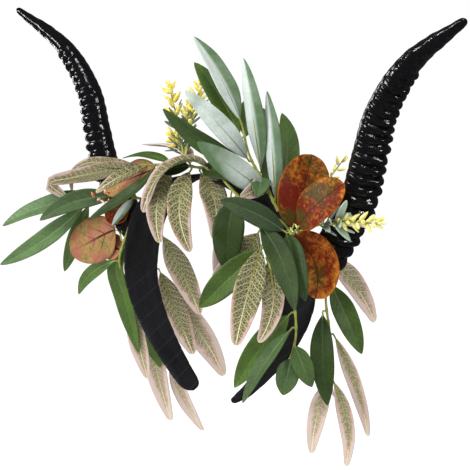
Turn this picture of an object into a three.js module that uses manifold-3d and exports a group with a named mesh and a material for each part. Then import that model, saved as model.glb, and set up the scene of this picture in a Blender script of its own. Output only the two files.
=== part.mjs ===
// Antelope horn headband: a cloth-bound arch band with a pair of ringed horns and
// sprays of cloth leaves bound along it. Millimetres, +Z up, the wearer faces -Y.
// The origin is the inside of the band's crown, where it sits on the head.
import * as THREE from "three";
import { mergeVertices } from "three/addons/utils/BufferGeometryUtils.js";
import Module from "manifold-3d";

const wasm = await Module();
wasm.setup();

// Small gap between pieces that touch on the real headband.
const GAP = 0.3;

// Band: a strip bent into an arch, widest at the ears, its arms closing in below.
const BAND = {
  halfSpan: 72,
  widestDrop: 70,
  height: 142,
  tipHalfGap: 19.6,
  crownWidth: 34.5,
  tipWidth: 16.3,
  thickness: 3,
  edgeRound: 0.9,
  archPower: 2.28,
  armPower: 1.69,
  halfSteps: 18,
  roundSteps: 4,
};

// Horns: one curved axis for the right side, mirrored for the left. Each ring swells
// by ringHeight of the radius on the outer side and innerRing of that on the inner.
const HORN = {
  baseRadius: 10.6,
  tipRadius: 2.2,
  tipRound: 0.02,
  noseCut: 0.6,
  taperPower: 2.2,
  sides: 10,
  rings: 18,
  ringsFrom: 0.075,
  ringsTo: 0.755,
  ringHeight: 0.15,
  innerRing: 0.2,
  oval: 0.07,
  tipSteps: 8,
};
const HORN_SEAT = { along: 0.435, across: 3 };
// Axis of the right horn after its seat on the band: across, back and up.
const HORN_AXIS = [
  [85, 5, -42],
  [99, 6, -22],
  [112.5, 4, -2],
  [121, 3, 24],
  [128.5, 2.5, 48],
  [151, -1, 77],
  [195, -9, 103],
];
// Places within one ring, from its groove up to its crest, and the swell at each.
const RING_STEPS = [
  { at: 0, swell: 0 },
  { at: 0.3, swell: 0.9 },
  { at: 0.68, swell: 1 },
];

// Leaf kinds: the fold along the midrib in degrees, and an outline that swells as
// along^rise and falls as (1 - along)^fall.
const LEAF = { wall: 1.2, stalkHalf: 0.8, tipHalf: 0.45, stalk: 0.1, steps: 5, smallSteps: 4 };
const KINDS = {
  willow: { rise: 0.8, fall: 0.85, fold: 16, color: 0x4d7a3c },
  netted: { rise: 0.62, fall: 0.95, fold: 14, color: 0x9a8a66 },
  copper: { rise: 0.5, fall: 0.5, fold: 10, color: 0xa8521c },
};
// A leaf with no turn has its upper face towards this front right quarter.
const FACING = new THREE.Vector3(1, -1, 0.2).normalize();

// Sprays: a moulded stem and its leaves.
// A stem starts with seats on the band's outer face (side, share of the half band from
// crown to tip, place across it) and then runs free through points.
// A leaf leaves the stem at a share of its length and ends at its tip. turn: degrees
// about its own length; bow: arch along its face; sway: arch in its plane; stalk: bare
// share of its length; moulded: a small leaf in one piece with the stem.
const STEM = { radius: 1.3, sides: 6, pitch: 9 };
const SPRAYS = {
  crown: {
    seats: [],
    points: [
      [43, -18.9, -9],
      [29, -18.6, 0],
      [15, -17, 7.5],
      [-3, -17.5, 8.5],
      [-20, -16.5, 9],
      [-37, -13, 6.5],
      [-58, -14, 5],
    ],
    leaves: [
      { kind: "willow", at: 0.03, tip: [43, -32, -50], width: 18, bow: 3 },
      { kind: "willow", at: 0.5, tip: [-16, -34, 0], width: 12, turn: 30, bow: 2, moulded: true },
      { kind: "willow", at: 0.45, tip: [30, -10, 7], width: 12, turn: -70, bow: 2, moulded: true },
      { kind: "willow", at: 0.75, tip: [-53, -21, 12], width: 13, turn: 40, bow: 3, moulded: true },
      { kind: "netted", at: 0.97, tip: [-116, -42, -15], width: 16, turn: 30, bow: 7 },
      { kind: "netted", at: 0.9, tip: [-73, -38, -13], width: 14, turn: 35, bow: 5 },
      { kind: "netted", at: 0.33, tip: [-34, -32, -22], width: 16, turn: 30, bow: 14 },
      { kind: "netted", at: 0.67, tip: [-19, -31, -40], width: 17, turn: 10, bow: 4 },
      { kind: "netted", at: 0.49, tip: [9, -31, -42], width: 18, bow: 8 },
      { kind: "netted", at: 0.42, tip: [33, -34, -31], width: 17, turn: -10, bow: 1 },
      { kind: "netted", at: 0.6, tip: [-57, -12, 18], width: 14, turn: 50, bow: 4, moulded: true },
      { kind: "netted", at: 0.12, tip: [27, -25, -60], width: 13, bow: 2, stalk: 0.4, moulded: true },
      { kind: "copper", at: 0.84, tip: [-81, -22, -21], width: 22, turn: 60, bow: 0 },
    ],
  },
  top: {
    seats: [[1, 0.28, -2]],
    points: [[45, -3, 1], [36, -7, 17], [29, -8, 37]],
    leaves: [
      { kind: "willow", at: 1, tip: [2, -23, 89], width: 17, turn: 40, bow: 3 },
      { kind: "willow", at: 0.92, tip: [-10, -13, 72], width: 15, turn: -45, bow: 2 },
      { kind: "willow", at: 0.56, tip: [38, -16, 77], width: 16, turn: 220, bow: -6 },
      { kind: "willow", at: 0.11, tip: [52, -10, 58], width: 16, turn: 225, bow: -3 },
      { kind: "willow", at: 0.77, tip: [19, -46, 58], width: 17, turn: 15, bow: 4 },
      { kind: "willow", at: 0.63, tip: [2, -48, 46], width: 16, turn: -35, bow: 5 },
      { kind: "willow", at: 0.44, tip: [31, -45, 29], width: 19, bow: 3 },
      { kind: "willow", at: 0.84, tip: [16, 10, 50], width: 14, turn: 10, bow: 2, moulded: true },
      { kind: "willow", at: 0.12, tip: [40, 16, 43], width: 16, bow: 2, sway: 6, moulded: true },
      { kind: "willow", at: 0.27, tip: [33, 7, 46], width: 15, turn: 20, bow: 2, moulded: true },
      { kind: "willow", at: 0.4, tip: [55, -20, -3], width: 12, bow: 2, moulded: true },
    ],
  },
  right: {
    seats: [[1, 0.29, -9]],
    points: [[73, -14, -20], [80, -16, -25]],
    leaves: [
      { kind: "willow", at: 0.75, tip: [43, -39, -6], width: 16, turn: -25, bow: 3 },
      { kind: "willow", at: 0.85, tip: [103, -28, -59], width: 15, turn: 40, bow: 3 },
      { kind: "copper", at: 0.88, tip: [81, -1, 22], width: 30, turn: 5, bow: 3 },
      { kind: "copper", at: 1, tip: [117, -13, 9], width: 24, turn: -40, bow: 5 },
      { kind: "copper", at: 0.94, tip: [95, -11, -61], width: 28, turn: 10, bow: 4, sway: -8 },
    ],
  },
  front: {
    seats: [],
    points: [[46, -18.9, -11], [56, -21, -18], [63, -22, -28], [69, -23, -42], [71, -22, -55]],
    leaves: [
      { kind: "willow", at: 0.66, tip: [23, -36, -74], width: 18, turn: 10, bow: 4 },
      { kind: "willow", at: 0.38, tip: [101, -35, -64], width: 19, bow: 4 },
      { kind: "netted", at: 0.38, tip: [39, -21, -40], width: 16, turn: 30, bow: -2 },
      { kind: "netted", at: 0.74, tip: [54, -38, -93], width: 19, bow: 5 },
      { kind: "netted", at: 1, tip: [62, -24, -91], width: 16, turn: 10, bow: 2, sway: -6 },
    ],
  },
  right_front: {
    seats: [[1, 0.44, -12]],
    points: [[79, -11, -71], [80, -11, -87], [78, -13, -100]],
    leaves: [
      { kind: "willow", at: 0.66, tip: [47, -29, -121], width: 18, turn: 5, bow: -2 },
      { kind: "willow", at: 0.78, tip: [62, -37, -126], width: 16, turn: 45, bow: 3 },
      { kind: "willow", at: 0.84, tip: [93, -10, -115], width: 13, turn: 5, bow: 2, moulded: true },
      { kind: "willow", at: 0.98, tip: [79, -20, -121], width: 15, bow: 2, moulded: true },
    ],
  },
  right_back: {
    seats: [[1, 0.28, 11], [1, 0.33, 13]],
    points: [[75, 20, -42], [84, 11, -68], [88, 11, -88], [88, 14, -115]],
    leaves: [
      { kind: "willow", at: 0.62, tip: [95, 2, -128], width: 17, turn: 20, bow: 4 },
      { kind: "willow", at: 0.46, tip: [104, 22, -98], width: 18, turn: -5, bow: 4 },
      { kind: "netted", at: 0.3, tip: [95, 44, -83], width: 16, turn: -20, bow: 5 },
      { kind: "netted", at: 0.75, tip: [100, 36, -152], width: 15, turn: 30, bow: 2 },
      { kind: "netted", at: 0.99, tip: [83, -1, -160], width: 15, turn: 5, bow: 4 },
      { kind: "netted", at: 1, tip: [93, 23, -171], width: 15, turn: 25, bow: 1 },
      { kind: "netted", at: 0.68, tip: [83, 22, -129], width: 12, turn: 70, bow: 3, moulded: true },
    ],
  },
  left: {
    seats: [[-1, 0.31, -6]],
    points: [[-85, -11, -18], [-107, -18, -26]],
    leaves: [
      { kind: "willow", at: 0.85, tip: [-161, -48, -42], width: 17, turn: 45, bow: 5 },
      { kind: "willow", at: 0.44, tip: [-122, -46, -36], width: 17, turn: 15, bow: 5 },
      { kind: "willow", at: 1, tip: [-148, -60, -66], width: 17, turn: 20, bow: 1 },
      { kind: "willow", at: 0.95, tip: [-133, -14, -76], width: 13, turn: 10, bow: 2, moulded: true },
      { kind: "copper", at: 0.3, tip: [-86, -18, -35], width: 18, turn: 40, bow: -1 },
      { kind: "willow", at: 0.2, tip: [-76, -22, -37], width: 8, turn: 20, bow: 1, moulded: true },
    ],
  },
  left_front: {
    seats: [[-1, 0.41, -12]],
    points: [[-80, -12, -60], [-88, -2, -74], [-91, 9, -90], [-89, 22, -114]],
    leaves: [
      { kind: "willow", at: 0.3, tip: [-126, -8, -93], width: 12, turn: 15, bow: 3 },
      { kind: "willow", at: 0.24, tip: [-89, 11, -132], width: 15, turn: 25, bow: 4 },
      { kind: "netted", at: 0.72, tip: [-88, 21, -150], width: 15, turn: 20, bow: 3 },
      { kind: "netted", at: 1, tip: [-89, 45, -185], width: 19, turn: 20, bow: -3 },
      { kind: "copper", at: 0.12, tip: [-111, -29, -54], width: 31, turn: 185, bow: 3, stalk: 0.15 },
      { kind: "copper", at: 0.2, tip: [-108, -16, -68], width: 26, turn: 180, bow: 2, moulded: true },
      { kind: "willow", at: 0.75, tip: [-88, 33, -144], width: 13, turn: 10, bow: 1, moulded: true },
    ],
  },
  left_back: {
    seats: [[-1, 0.28, 10], [-1, 0.33, 12]],
    points: [[-78, 22, -42], [-86, 27, -60], [-90, 29, -88], [-90, 34, -116], [-86, 41, -143]],
    leaves: [
      { kind: "netted", at: 0.3, tip: [-65, 48, -104], width: 17, turn: 10, bow: 4 },
      { kind: "netted", at: 0.5, tip: [-72, 49, -134], width: 19, bow: 4 },
      { kind: "netted", at: 0.6, tip: [-70, 77, -154], width: 17, turn: 20, bow: 3 },
      { kind: "netted", at: 0.97, tip: [-76, 63, -193], width: 14, turn: 35, bow: 3, moulded: true },
    ],
  },
};

// Yellow sprigs: a thin rod or two with narrow leaves and a head of buds.
const SPRIG = {
  radius: 0.8,
  sides: 4,
  pitch: 16,
  bladeLength: 9,
  bladesFrom: 0.3,
  bladesOver: 0.35,
  budsFrom: 0.62,
  budLong: 4.2,
  budWide: 2.1,
  budReach: 1.8,
  arch: 0.06,
};
const SPRIG_BLADE = { kind: "willow", width: 4, bow: 0.6, stalk: 0, steps: 2 };
const SPRIGS = {
  crown: { spray: "crown", at: 0.56, tips: [[-33, -9, 53], [-13, -6, 57]], blades: 3, buds: 3 },
  back: { spray: "right_back", at: 0.1, tips: [[84, 24, 18]], blades: 2, buds: 4 },
  horn: { spray: "right", at: 0.97, tips: [[140, -14, -12]], blades: 4, buds: 5 },
};

const COLORS = { band: 0x1f1f23, horn: 0x0c0d10, stem: 0x9aa64a, sprig: 0xe8c62c };
const DEGREE = Math.PI / 180;

// A closed skin through rings of points, each with as many points as the next.
function loft(rings) {
  const count = rings[0].length;
  const points = rings.flat();
  const index = [];
  for (let ring = 0; ring < rings.length - 1; ring += 1) {
    for (let side = 0; side < count; side += 1) {
      const a = ring * count + side;
      const b = ring * count + ((side + 1) % count);
      index.push(a, b, a + count, b, b + count, a + count);
    }
  }
  for (const ring of [0, rings.length - 1]) {
    const middle = new THREE.Vector3();
    rings[ring].forEach((point) => middle.addScaledVector(point, 1 / count));
    const centre = points.push(middle) - 1;
    for (let side = 0; side < count; side += 1) {
      const a = ring * count + side;
      const b = ring * count + ((side + 1) % count);
      if (ring === 0) index.push(centre, b, a);
      else index.push(centre, a, b);
    }
  }
  const geometry = new THREE.BufferGeometry().setFromPoints(points);
  geometry.setIndex(index);
  return geometry;
}

// Pieces that overlap, joined into one closed surface.
function fused(geometries) {
  const solids = geometries.map((geometry) => {
    const bare = new THREE.BufferGeometry();
    bare.setAttribute("position", geometry.getAttribute("position"));
    bare.setIndex(geometry.getIndex());
    const merged = mergeVertices(bare, 1e-3);
    const vertProperties = new Float32Array(merged.attributes.position.array);
    const triVerts = new Uint32Array(merged.index.array);
    return new wasm.Manifold(new wasm.Mesh({ numProp: 3, vertProperties, triVerts }));
  });
  const whole = solids.reduce((sum, solid) => sum.add(solid));
  const { vertProperties, triVerts } = whole.getMesh();
  const geometry = new THREE.BufferGeometry();
  geometry.setAttribute("position", new THREE.BufferAttribute(vertProperties, 3));
  geometry.setIndex(new THREE.BufferAttribute(triVerts, 1));
  return geometry;
}

// Half of the band's middle line, from the crown to the right tip.
class HalfBand extends THREE.Curve {
  getPoint(share, target = new THREE.Vector3()) {
    const crownZ = BAND.thickness / 2;
    const half = 0.5;
    if (share < half) {
      const turn = (Math.max(share, 0) / half) * (Math.PI / 2);
      const power = 2 / BAND.archPower;
      const x = BAND.halfSpan * Math.sin(turn) ** power;
      return target.set(x, 0, crownZ - BAND.widestDrop * (1 - Math.cos(turn) ** power));
    }
    const drop = Math.min((share - half) / half, 1);
    const reach = (BAND.halfSpan - BAND.tipHalfGap) * (1 - drop ** BAND.armPower);
    const z = crownZ - BAND.widestDrop - (BAND.height - BAND.widestDrop) * drop;
    return target.set(BAND.tipHalfGap + reach, 0, z);
  }
}
const halfBand = new HalfBand();
halfBand.arcLengthDivisions = 400;

// Place and outward direction on the middle line at a share of the half band's length.
function bandFrame(side, along) {
  const step = 0.004;
  const at = halfBand.getPointAt(along);
  const ahead = halfBand.getPointAt(Math.min(along + step, 1));
  const behind = halfBand.getPointAt(Math.max(along - step, 0));
  const run = ahead.sub(behind).normalize();
  if (along < step) run.set(1, 0, 0);
  const out = new THREE.Vector3(-run.z * side, 0, run.x);
  at.x *= side;
  return { at, out };
}

// A point off the band's outer face.
function seatPoint([side, along, across], lift) {
  const { at, out } = bandFrame(side, along);
  const point = at.addScaledVector(out, BAND.thickness / 2 + lift);
  point.y = across;
  return point;
}

// The band's flat section with eased edges.
function bandRing(side, along, halfWidth) {
  const { at, out } = bandFrame(side, along);
  const half = BAND.thickness / 2;
  const ease = Math.min(BAND.edgeRound, halfWidth * 0.4);
  const section = [
    [-halfWidth, ease - half],
    [ease - halfWidth, -half],
    [halfWidth - ease, -half],
    [halfWidth, ease - half],
    [halfWidth, half - ease],
    [halfWidth - ease, half],
    [ease - halfWidth, half],
    [-halfWidth, half - ease],
  ];
  return section.map(([across, off]) => {
    const point = at.clone().addScaledVector(out, off);
    point.y = across;
    return point;
  });
}

function bandGeometry() {
  const roundShare = BAND.tipWidth / 2 / halfBand.getLength();
  const halfRings = [];
  for (let step = 0; step <= BAND.halfSteps; step += 1) {
    const along = (step / BAND.halfSteps) * (1 - roundShare);
    const width = BAND.crownWidth + (BAND.tipWidth - BAND.crownWidth) * along ** 2;
    halfRings.push({ along, halfWidth: width / 2 });
  }
  const { halfWidth: endWidth } = halfRings.at(-1);
  for (let step = 1; step <= BAND.roundSteps; step += 1) {
    const turn = (step / (BAND.roundSteps + 0.4)) * (Math.PI / 2);
    const along = 1 - roundShare * (1 - Math.sin(turn));
    halfRings.push({ along, halfWidth: endWidth * Math.cos(turn) });
  }
  const rings = [
    ...halfRings.slice(1).reverse().map(({ along, halfWidth }) => bandRing(-1, along, halfWidth)),
    ...halfRings.map(({ along, halfWidth }) => bandRing(1, along, halfWidth)),
  ];
  return loft(rings);
}

// Round sections along the horn's axis. Its rings stand proud on the outer side.
function hornGeometry() {
  const start = seatPoint([1, HORN_SEAT.along, HORN_SEAT.across], GAP);
  const { out } = bandFrame(1, HORN_SEAT.along);
  const points = HORN_AXIS.map((point) => new THREE.Vector3(...point));
  const axis = new THREE.CatmullRomCurve3([start, ...points], false, "centripetal");
  const stations = [{ along: 0, swell: 0 }];
  const pitch = (HORN.ringsTo - HORN.ringsFrom) / HORN.rings;
  for (let ring = 0; ring < HORN.rings; ring += 1) {
    for (const { at, swell } of RING_STEPS) {
      stations.push({ along: HORN.ringsFrom + (ring + at) * pitch, swell });
    }
  }
  for (let step = 0; step <= HORN.tipSteps; step += 1) {
    const along = HORN.ringsTo + (1 - HORN.ringsTo) * (step / HORN.tipSteps);
    stations.push({ along, swell: 0 });
  }
  const rings = stations.map(({ along, swell }) => {
    const centre = axis.getPointAt(along);
    const run = along === 0 ? out : axis.getTangentAt(along);
    const back = new THREE.Vector3(0, 1, 0).addScaledVector(run, -run.y).normalize();
    const outer = new THREE.Vector3().crossVectors(back, run);
    const taper = (HORN.baseRadius - HORN.tipRadius) * along ** HORN.taperPower;
    const nose = Math.max((along - 1 + HORN.tipRound) / HORN.tipRound, 0);
    const radius = (HORN.baseRadius - taper) * (1 - HORN.noseCut * nose);
    const ring = [];
    for (let side = 0; side < HORN.sides; side += 1) {
      const angle = (side / HORN.sides) * 2 * Math.PI;
      const outward = 0.5 + 0.5 * Math.cos(angle);
      const proud = HORN.innerRing + (1 - HORN.innerRing) * outward;
      const wide = 1 + HORN.oval * Math.cos(2 * angle - Math.PI / 2);
      const reach = radius * wide * (1 + HORN.ringHeight * (swell * proud - 1 / 3));
      const point = centre.clone().addScaledVector(outer, reach * Math.cos(angle));
      ring.push(point.addScaledVector(back, reach * Math.sin(angle)));
    }
    return ring;
  });
  return loft(rings);
}

const stemCurves = Object.fromEntries(
  Object.entries(SPRAYS).map(([spray, { seats, points }]) => {
    const seated = seats.map((seat) => seatPoint(seat, STEM.radius + GAP));
    const free = points.map((point) => new THREE.Vector3(...point));
    return [spray, new THREE.CatmullRomCurve3([...seated, ...free], false, "centripetal")];
  }),
);

function rodGeometry(curve, { radius, sides, pitch }) {
  const section = new THREE.Shape();
  for (let side = 0; side < sides; side += 1) {
    const angle = (side / sides) * 2 * Math.PI;
    const place = [radius * Math.cos(angle), radius * Math.sin(angle)];
    if (side === 0) section.moveTo(...place);
    else section.lineTo(...place);
  }
  const steps = Math.ceil(curve.getLength() / pitch);
  return new THREE.ExtrudeGeometry(section, { steps, bevelEnabled: false, extrudePath: curve });
}

// Where a leaf or sprig leaves its stem: just off the stem's side, towards its tip, or
// just past the stem's end.
function rootPoint(curve, at, tip) {
  const start = curve.getPointAt(at);
  const run = curve.getTangentAt(at);
  const way = tip.clone().sub(start).normalize();
  const along = way.dot(run);
  const aside = way.addScaledVector(run, -along);
  const slant = aside.length();
  if (at === 1) return start.addScaledVector(run, GAP + LEAF.stalkHalf * slant);
  const clear = STEM.radius + GAP + LEAF.stalkHalf * Math.abs(along);
  return start.addScaledVector(aside.normalize(), clear);
}

// A cloth leaf: a thin wall folded along its midrib, arched and turned.
function leafGeometry(row, root) {
  const { kind, tip, width, turn = 0, bow, sway = 0, stalk = LEAF.stalk, steps = LEAF.steps } = row;
  const { rise, fall, fold } = KINDS[kind];
  const chord = new THREE.Vector3(...tip).sub(root);
  const run = chord.clone().normalize();
  const flat = new THREE.Vector3().crossVectors(run, FACING).normalize();
  flat.applyAxisAngle(run, turn * DEGREE);
  const face = new THREE.Vector3().crossVectors(flat, run);
  const swell = (along) => along ** rise * (1 - along) ** fall;
  const fullest = swell(rise / (rise + fall));
  const middle = (along) => {
    const arch = 4 * along * (1 - along);
    const point = root.clone().addScaledVector(chord, along);
    return point.addScaledVector(face, bow * arch).addScaledVector(flat, sway * arch);
  };
  const stations = [0];
  for (let step = 0; step <= steps; step += 1) {
    const blade = (1 - Math.cos((step / steps) * Math.PI)) / 2;
    stations.push(stalk + (1 - stalk) * blade);
  }
  const nudge = 0.01;
  const wall = LEAF.wall / 2;
  const rings = stations.map((along) => {
    const blade = Math.max((along - stalk) / (1 - stalk), 0);
    const least = blade < 0.5 ? LEAF.stalkHalf : LEAF.tipHalf;
    const half = Math.max((width / 2) * (swell(blade) / fullest), least);
    const lift = half > least ? half * Math.tan(fold * DEGREE) : 0;
    const ahead = middle(Math.min(along + nudge, 1));
    const local = ahead.sub(middle(Math.max(along - nudge, 0))).normalize();
    const up = face.clone().addScaledVector(local, -face.dot(local)).normalize();
    const across = new THREE.Vector3().crossVectors(local, up);
    const place = (side, off) => middle(along).addScaledVector(across, side).addScaledVector(up, off);
    return [
      place(-half, lift + wall),
      place(0, wall),
      place(half, lift + wall),
      place(half, lift - wall),
      place(0, -wall),
      place(-half, lift - wall),
    ];
  });
  return loft(rings);
}

function sprigGeometry({ spray, at, tips, blades, buds }) {
  const pieces = [];
  const upright = new THREE.Vector3(0, 0, 1);
  const golden = 137.5 * DEGREE;
  const around = (index) => new THREE.Vector3(Math.cos(index * golden), Math.sin(index * golden), 0.2);
  const root = rootPoint(stemCurves[spray], at, new THREE.Vector3(...tips[0]));
  for (const tip of tips) {
    const end = new THREE.Vector3(...tip);
    const bend = root.clone().lerp(end, 0.5);
    bend.z += root.distanceTo(end) * SPRIG.arch;
    const curve = new THREE.CatmullRomCurve3([root, bend, end]);
    pieces.push(rodGeometry(curve, SPRIG));
    for (let blade = 0; blade < blades; blade += 1) {
      const share = SPRIG.bladesFrom + (SPRIG.bladesOver * blade) / blades;
      const from = curve.getPointAt(share);
      const lean = curve.getTangentAt(share).add(around(blade)).normalize();
      const to = from.clone().addScaledVector(lean, SPRIG.bladeLength).toArray();
      pieces.push(leafGeometry({ ...SPRIG_BLADE, tip: to }, from));
    }
    for (let bud = 0; bud < buds; bud += 1) {
      const share = SPRIG.budsFrom + ((1 - SPRIG.budsFrom) * bud) / (buds - 1);
      const lean = curve.getTangentAt(share).add(around(bud)).normalize();
      const middle = curve.getPointAt(share).addScaledVector(lean, SPRIG.budReach);
      const geometry = new THREE.OctahedronGeometry(1, 0);
      geometry.scale(SPRIG.budWide, SPRIG.budWide, SPRIG.budLong);
      geometry.applyQuaternion(new THREE.Quaternion().setFromUnitVectors(upright, lean));
      pieces.push(geometry.translate(...middle.toArray()));
    }
  }
  return fused(pieces);
}

const headband = new THREE.Group();

function addPiece(name, geometry, color, roughness) {
  const material = new THREE.MeshStandardMaterial({ color, roughness, metalness: 0 });
  const mesh = new THREE.Mesh(geometry, material);
  mesh.name = name;
  headband.add(mesh);
  return mesh;
}

addPiece("band", bandGeometry(), COLORS.band, 0.9);
addPiece("horn_right", hornGeometry(), COLORS.horn, 0.25);
addPiece("horn_left", hornGeometry(), COLORS.horn, 0.25).scale.x = -1;

for (const [spray, { leaves }] of Object.entries(SPRAYS)) {
  const curve = stemCurves[spray];
  const moulded = leaves.filter((leaf) => leaf.moulded);
  const grown = moulded.map((leaf) => {
    return leafGeometry({ ...leaf, steps: LEAF.smallSteps }, curve.getPointAt(leaf.at));
  });
  addPiece(`${spray}_stem`, fused([rodGeometry(curve, STEM), ...grown]), COLORS.stem, 0.6);
  const counts = {};
  for (const leaf of leaves.filter(({ moulded }) => !moulded)) {
    counts[leaf.kind] = (counts[leaf.kind] ?? 0) + 1;
    const root = rootPoint(curve, leaf.at, new THREE.Vector3(...leaf.tip));
    const name = `${leaf.kind}_leaf_${spray}_${counts[leaf.kind]}`;
    addPiece(name, leafGeometry(leaf, root), KINDS[leaf.kind].color, 0.6);
  }
}
for (const [name, sprig] of Object.entries(SPRIGS)) {
  addPiece(`yellow_sprig_${name}`, sprigGeometry(sprig), COLORS.sprig, 0.6);
}

export default headband;
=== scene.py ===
# Antelope horn headband: a black cloth-bound band with a pair of ringed horns and sprays
# of pressed cloth leaves. Tables are in millimetres; every finished piece is in metres.
import math
import random
from functools import partial
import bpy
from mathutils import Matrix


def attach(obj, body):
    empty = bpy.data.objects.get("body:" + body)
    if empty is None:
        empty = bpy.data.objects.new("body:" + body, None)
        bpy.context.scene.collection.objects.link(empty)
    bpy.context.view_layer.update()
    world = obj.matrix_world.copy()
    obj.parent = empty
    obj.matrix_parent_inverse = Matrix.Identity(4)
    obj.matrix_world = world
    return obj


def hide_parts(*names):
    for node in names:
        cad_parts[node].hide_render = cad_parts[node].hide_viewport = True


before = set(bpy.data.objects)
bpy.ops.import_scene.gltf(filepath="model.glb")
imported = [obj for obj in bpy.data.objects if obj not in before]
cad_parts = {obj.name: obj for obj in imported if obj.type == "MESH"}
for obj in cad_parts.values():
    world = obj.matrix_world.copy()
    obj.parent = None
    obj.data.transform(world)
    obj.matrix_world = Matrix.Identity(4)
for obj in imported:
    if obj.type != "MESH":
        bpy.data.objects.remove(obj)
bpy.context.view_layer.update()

from types import SimpleNamespace

import bmesh
import bpy
from bpy.props import FloatProperty, FloatVectorProperty, IntProperty, PointerProperty
from mathutils import Matrix, Quaternion, Vector

bl_info = {
    "name": "Antelope Horn Headband",
    "version": (1, 0, 0),
    "blender": (4, 5, 0),
    "location": "View3D > Sidebar > Headband",
    "description": "Cloth-bound band with ringed horns and sprays of pressed cloth leaves",
    "category": "Object",
}

MM = 0.001


def linear(hex_colour):
    """An sRGB hex colour as linear red, green, blue and alpha."""
    parts = [int(hex_colour[place:place + 2], 16) / 255 for place in (1, 3, 5)]
    return (*(p / 12.92 if p <= 0.04045 else ((p + 0.055) / 1.055) ** 2.4 for p in parts), 1.0)


def number(name, description, default, **more):
    """A number or angle setting."""
    return FloatProperty(name=name, description=description, default=default, **more)


def length(name, description, millimetres):
    """A length setting, given in millimetres and held in metres."""
    return number(name, description, millimetres * MM, unit="LENGTH", precision=5, min=0.0)


def colour(name, description, hex_colour):
    """A colour setting, given as sRGB hex and held linear."""
    return FloatVectorProperty(name=name, description=description, default=linear(hex_colour),
                               size=4, subtype="COLOR", min=0.0, max=1.0)


# ---------------------------------------------------------------- settings


class BandSettings(bpy.types.PropertyGroup):
    crown_width: length("Crown width", "Width of the band at the crown", 34.5)
    tip_width: length("Tip width", "Width of the band near its tips", 16.3)
    thickness: length("Thickness", "Thickness of the bound band", 3.0)
    wrap_pitch: length("Wrap pitch", "Distance between turns of the wrapped ribbon", 12.0)
    wrap_step: length("Wrap step", "Height of one ribbon edge over the next", 0.45)
    cloth: colour("Cloth", "Black ribbon cloth", "#171719")
    thread: colour("Thread", "Raised threads of the ribbon", "#29292d")


class HornSettings(bpy.types.PropertyGroup):
    base_radius: length("Base radius", "Radius at the foot of a horn", 10.6)
    tip_radius: length("Tip radius", "Radius at the point of a horn", 2.2)
    rings: IntProperty(name="Rings", description="Number of rings on a horn", default=21, min=1)
    ring_height: number("Ring height", "Height of a ring as a share of the radius", 0.22,
                        min=0.0, max=0.5)
    plastic: colour("Plastic", "Black cast plastic", "#0a0a0c")
    worn: colour("Worn plastic", "Rubbed places on the rings", "#111216")


class StemSettings(bpy.types.PropertyGroup):
    radius: length("Stem radius", "Radius of a spray's stem at its foot", 1.0)
    stalk_radius: length("Stalk radius", "Radius of a leaf's stalk", 0.6)
    fresh: colour("Fresh green", "Main colour of the stems", "#98a244")
    olive: colour("Olive green", "Darker streaks of the stems", "#6a7030")


class LeafSettings(bpy.types.PropertyGroup):
    wall: length("Cloth thickness", "Thickness of a pressed leaf", 0.55)
    willow_warm: colour("Willow, warm", "Yellow green of willow leaves", "#4e6a26")
    willow_cool: colour("Willow, cool", "Blue green of willow leaves", "#465c3a")
    willow_deep: colour("Willow, deep", "Shaded veins of willow leaves", "#2c3c1c")
    willow_pale: colour("Willow, midrib", "Light along the midrib of willow leaves", "#7f9a68")
    silver: colour("Silver", "Pale underside of willow leaves", "#b9c3bd")
    # Sage is also the painted shade on one half of a silver back.
    sage: colour("Sage", "Grey green in the underside of willow leaves", "#4f6746")
    net_olive: colour("Netted, olive", "Green field of netted leaves", "#56573a")
    net_brown: colour("Netted, brown", "Brown border of that field", "#7a654a")
    net_cream: colour("Netted, cream", "Vein net of netted leaves", "#cfc79c")
    net_pink: colour("Netted, pink", "Margin of netted leaves", "#a5857b")
    net_pale: colour("Netted, pale", "Palest margins and tips of netted leaves", "#bba8a2")
    net_rib: colour("Netted, midrib", "Yellow olive foot of their midrib", "#80742a")
    copper_olive: colour("Copper, olive", "Dark olive of copper leaves", "#3e350c")
    copper_red: colour("Copper, red", "Red brown of copper leaves", "#5c1606")
    copper_orange: colour("Copper, orange", "Orange of copper leaves", "#9c4c0a")
    copper_gold: colour("Copper, gold", "Gold of copper leaves", "#c08420")
    moss: colour("Moss", "Olive clouds in the underside of copper leaves", "#7b7645")
    peach: colour("Peach", "Underside of copper leaves", "#a5804e")
    rose: colour("Rose", "Pink clouds in the underside of copper leaves", "#a86c55")
    bark: colour("Bark", "Brown veins of copper leaves", "#3a1c0c")


class SprigSettings(bpy.types.PropertyGroup):
    bud_length: length("Bud length", "Half length of a yellow bud", 2.5)
    bud_width: length("Bud width", "Half width of a yellow bud", 0.85)
    yellow: colour("Yellow", "Yellow of the buds", "#cfb92e")
    straw: colour("Straw", "Pale tips of the buds", "#d6d390")
    needle_dark: colour("Dark needle", "Dark narrow leaves of a sprig", "#46563c")
    needle_sage: colour("Sage needle", "Pale narrow leaves of a sprig", "#94a693")
    coral: colour("Coral", "Small coral flower buds", "#d9673a")
    blush: colour("Blush", "Pale petals of the coral buds", "#f3d9cc")


class StageSettings(bpy.types.PropertyGroup):
    floor_drop: length("Floor drop", "Distance of the floor below the crown", 420.0)
    camera_distance: length("Camera distance", "Distance of the camera from its aim", 885.0)
    lens: number("Lens", "Focal length on a 36 mm sensor", 36 * 1500 / 470, unit="CAMERA")
    azimuth: number("Azimuth", "Turn of the camera round the headband", math.radians(45),
                    subtype="ANGLE")
    elevation: number("Elevation", "Rise of the camera over the headband", math.radians(9),
                      subtype="ANGLE")
    roll: number("Roll", "Lean of the picture", math.radians(0.75), subtype="ANGLE")
    soft_light: number("Soft light", "Strength of the broad overhead light", 2.3, min=0.0)
    fill_light: number("Fill light", "Strength of the light from all round", 0.56, min=0.0)
    paint: colour("Floor paint", "Matt white floor paint", "#fcfcfb")


# ---------------------------------------------------------------- the headband's lines

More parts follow.
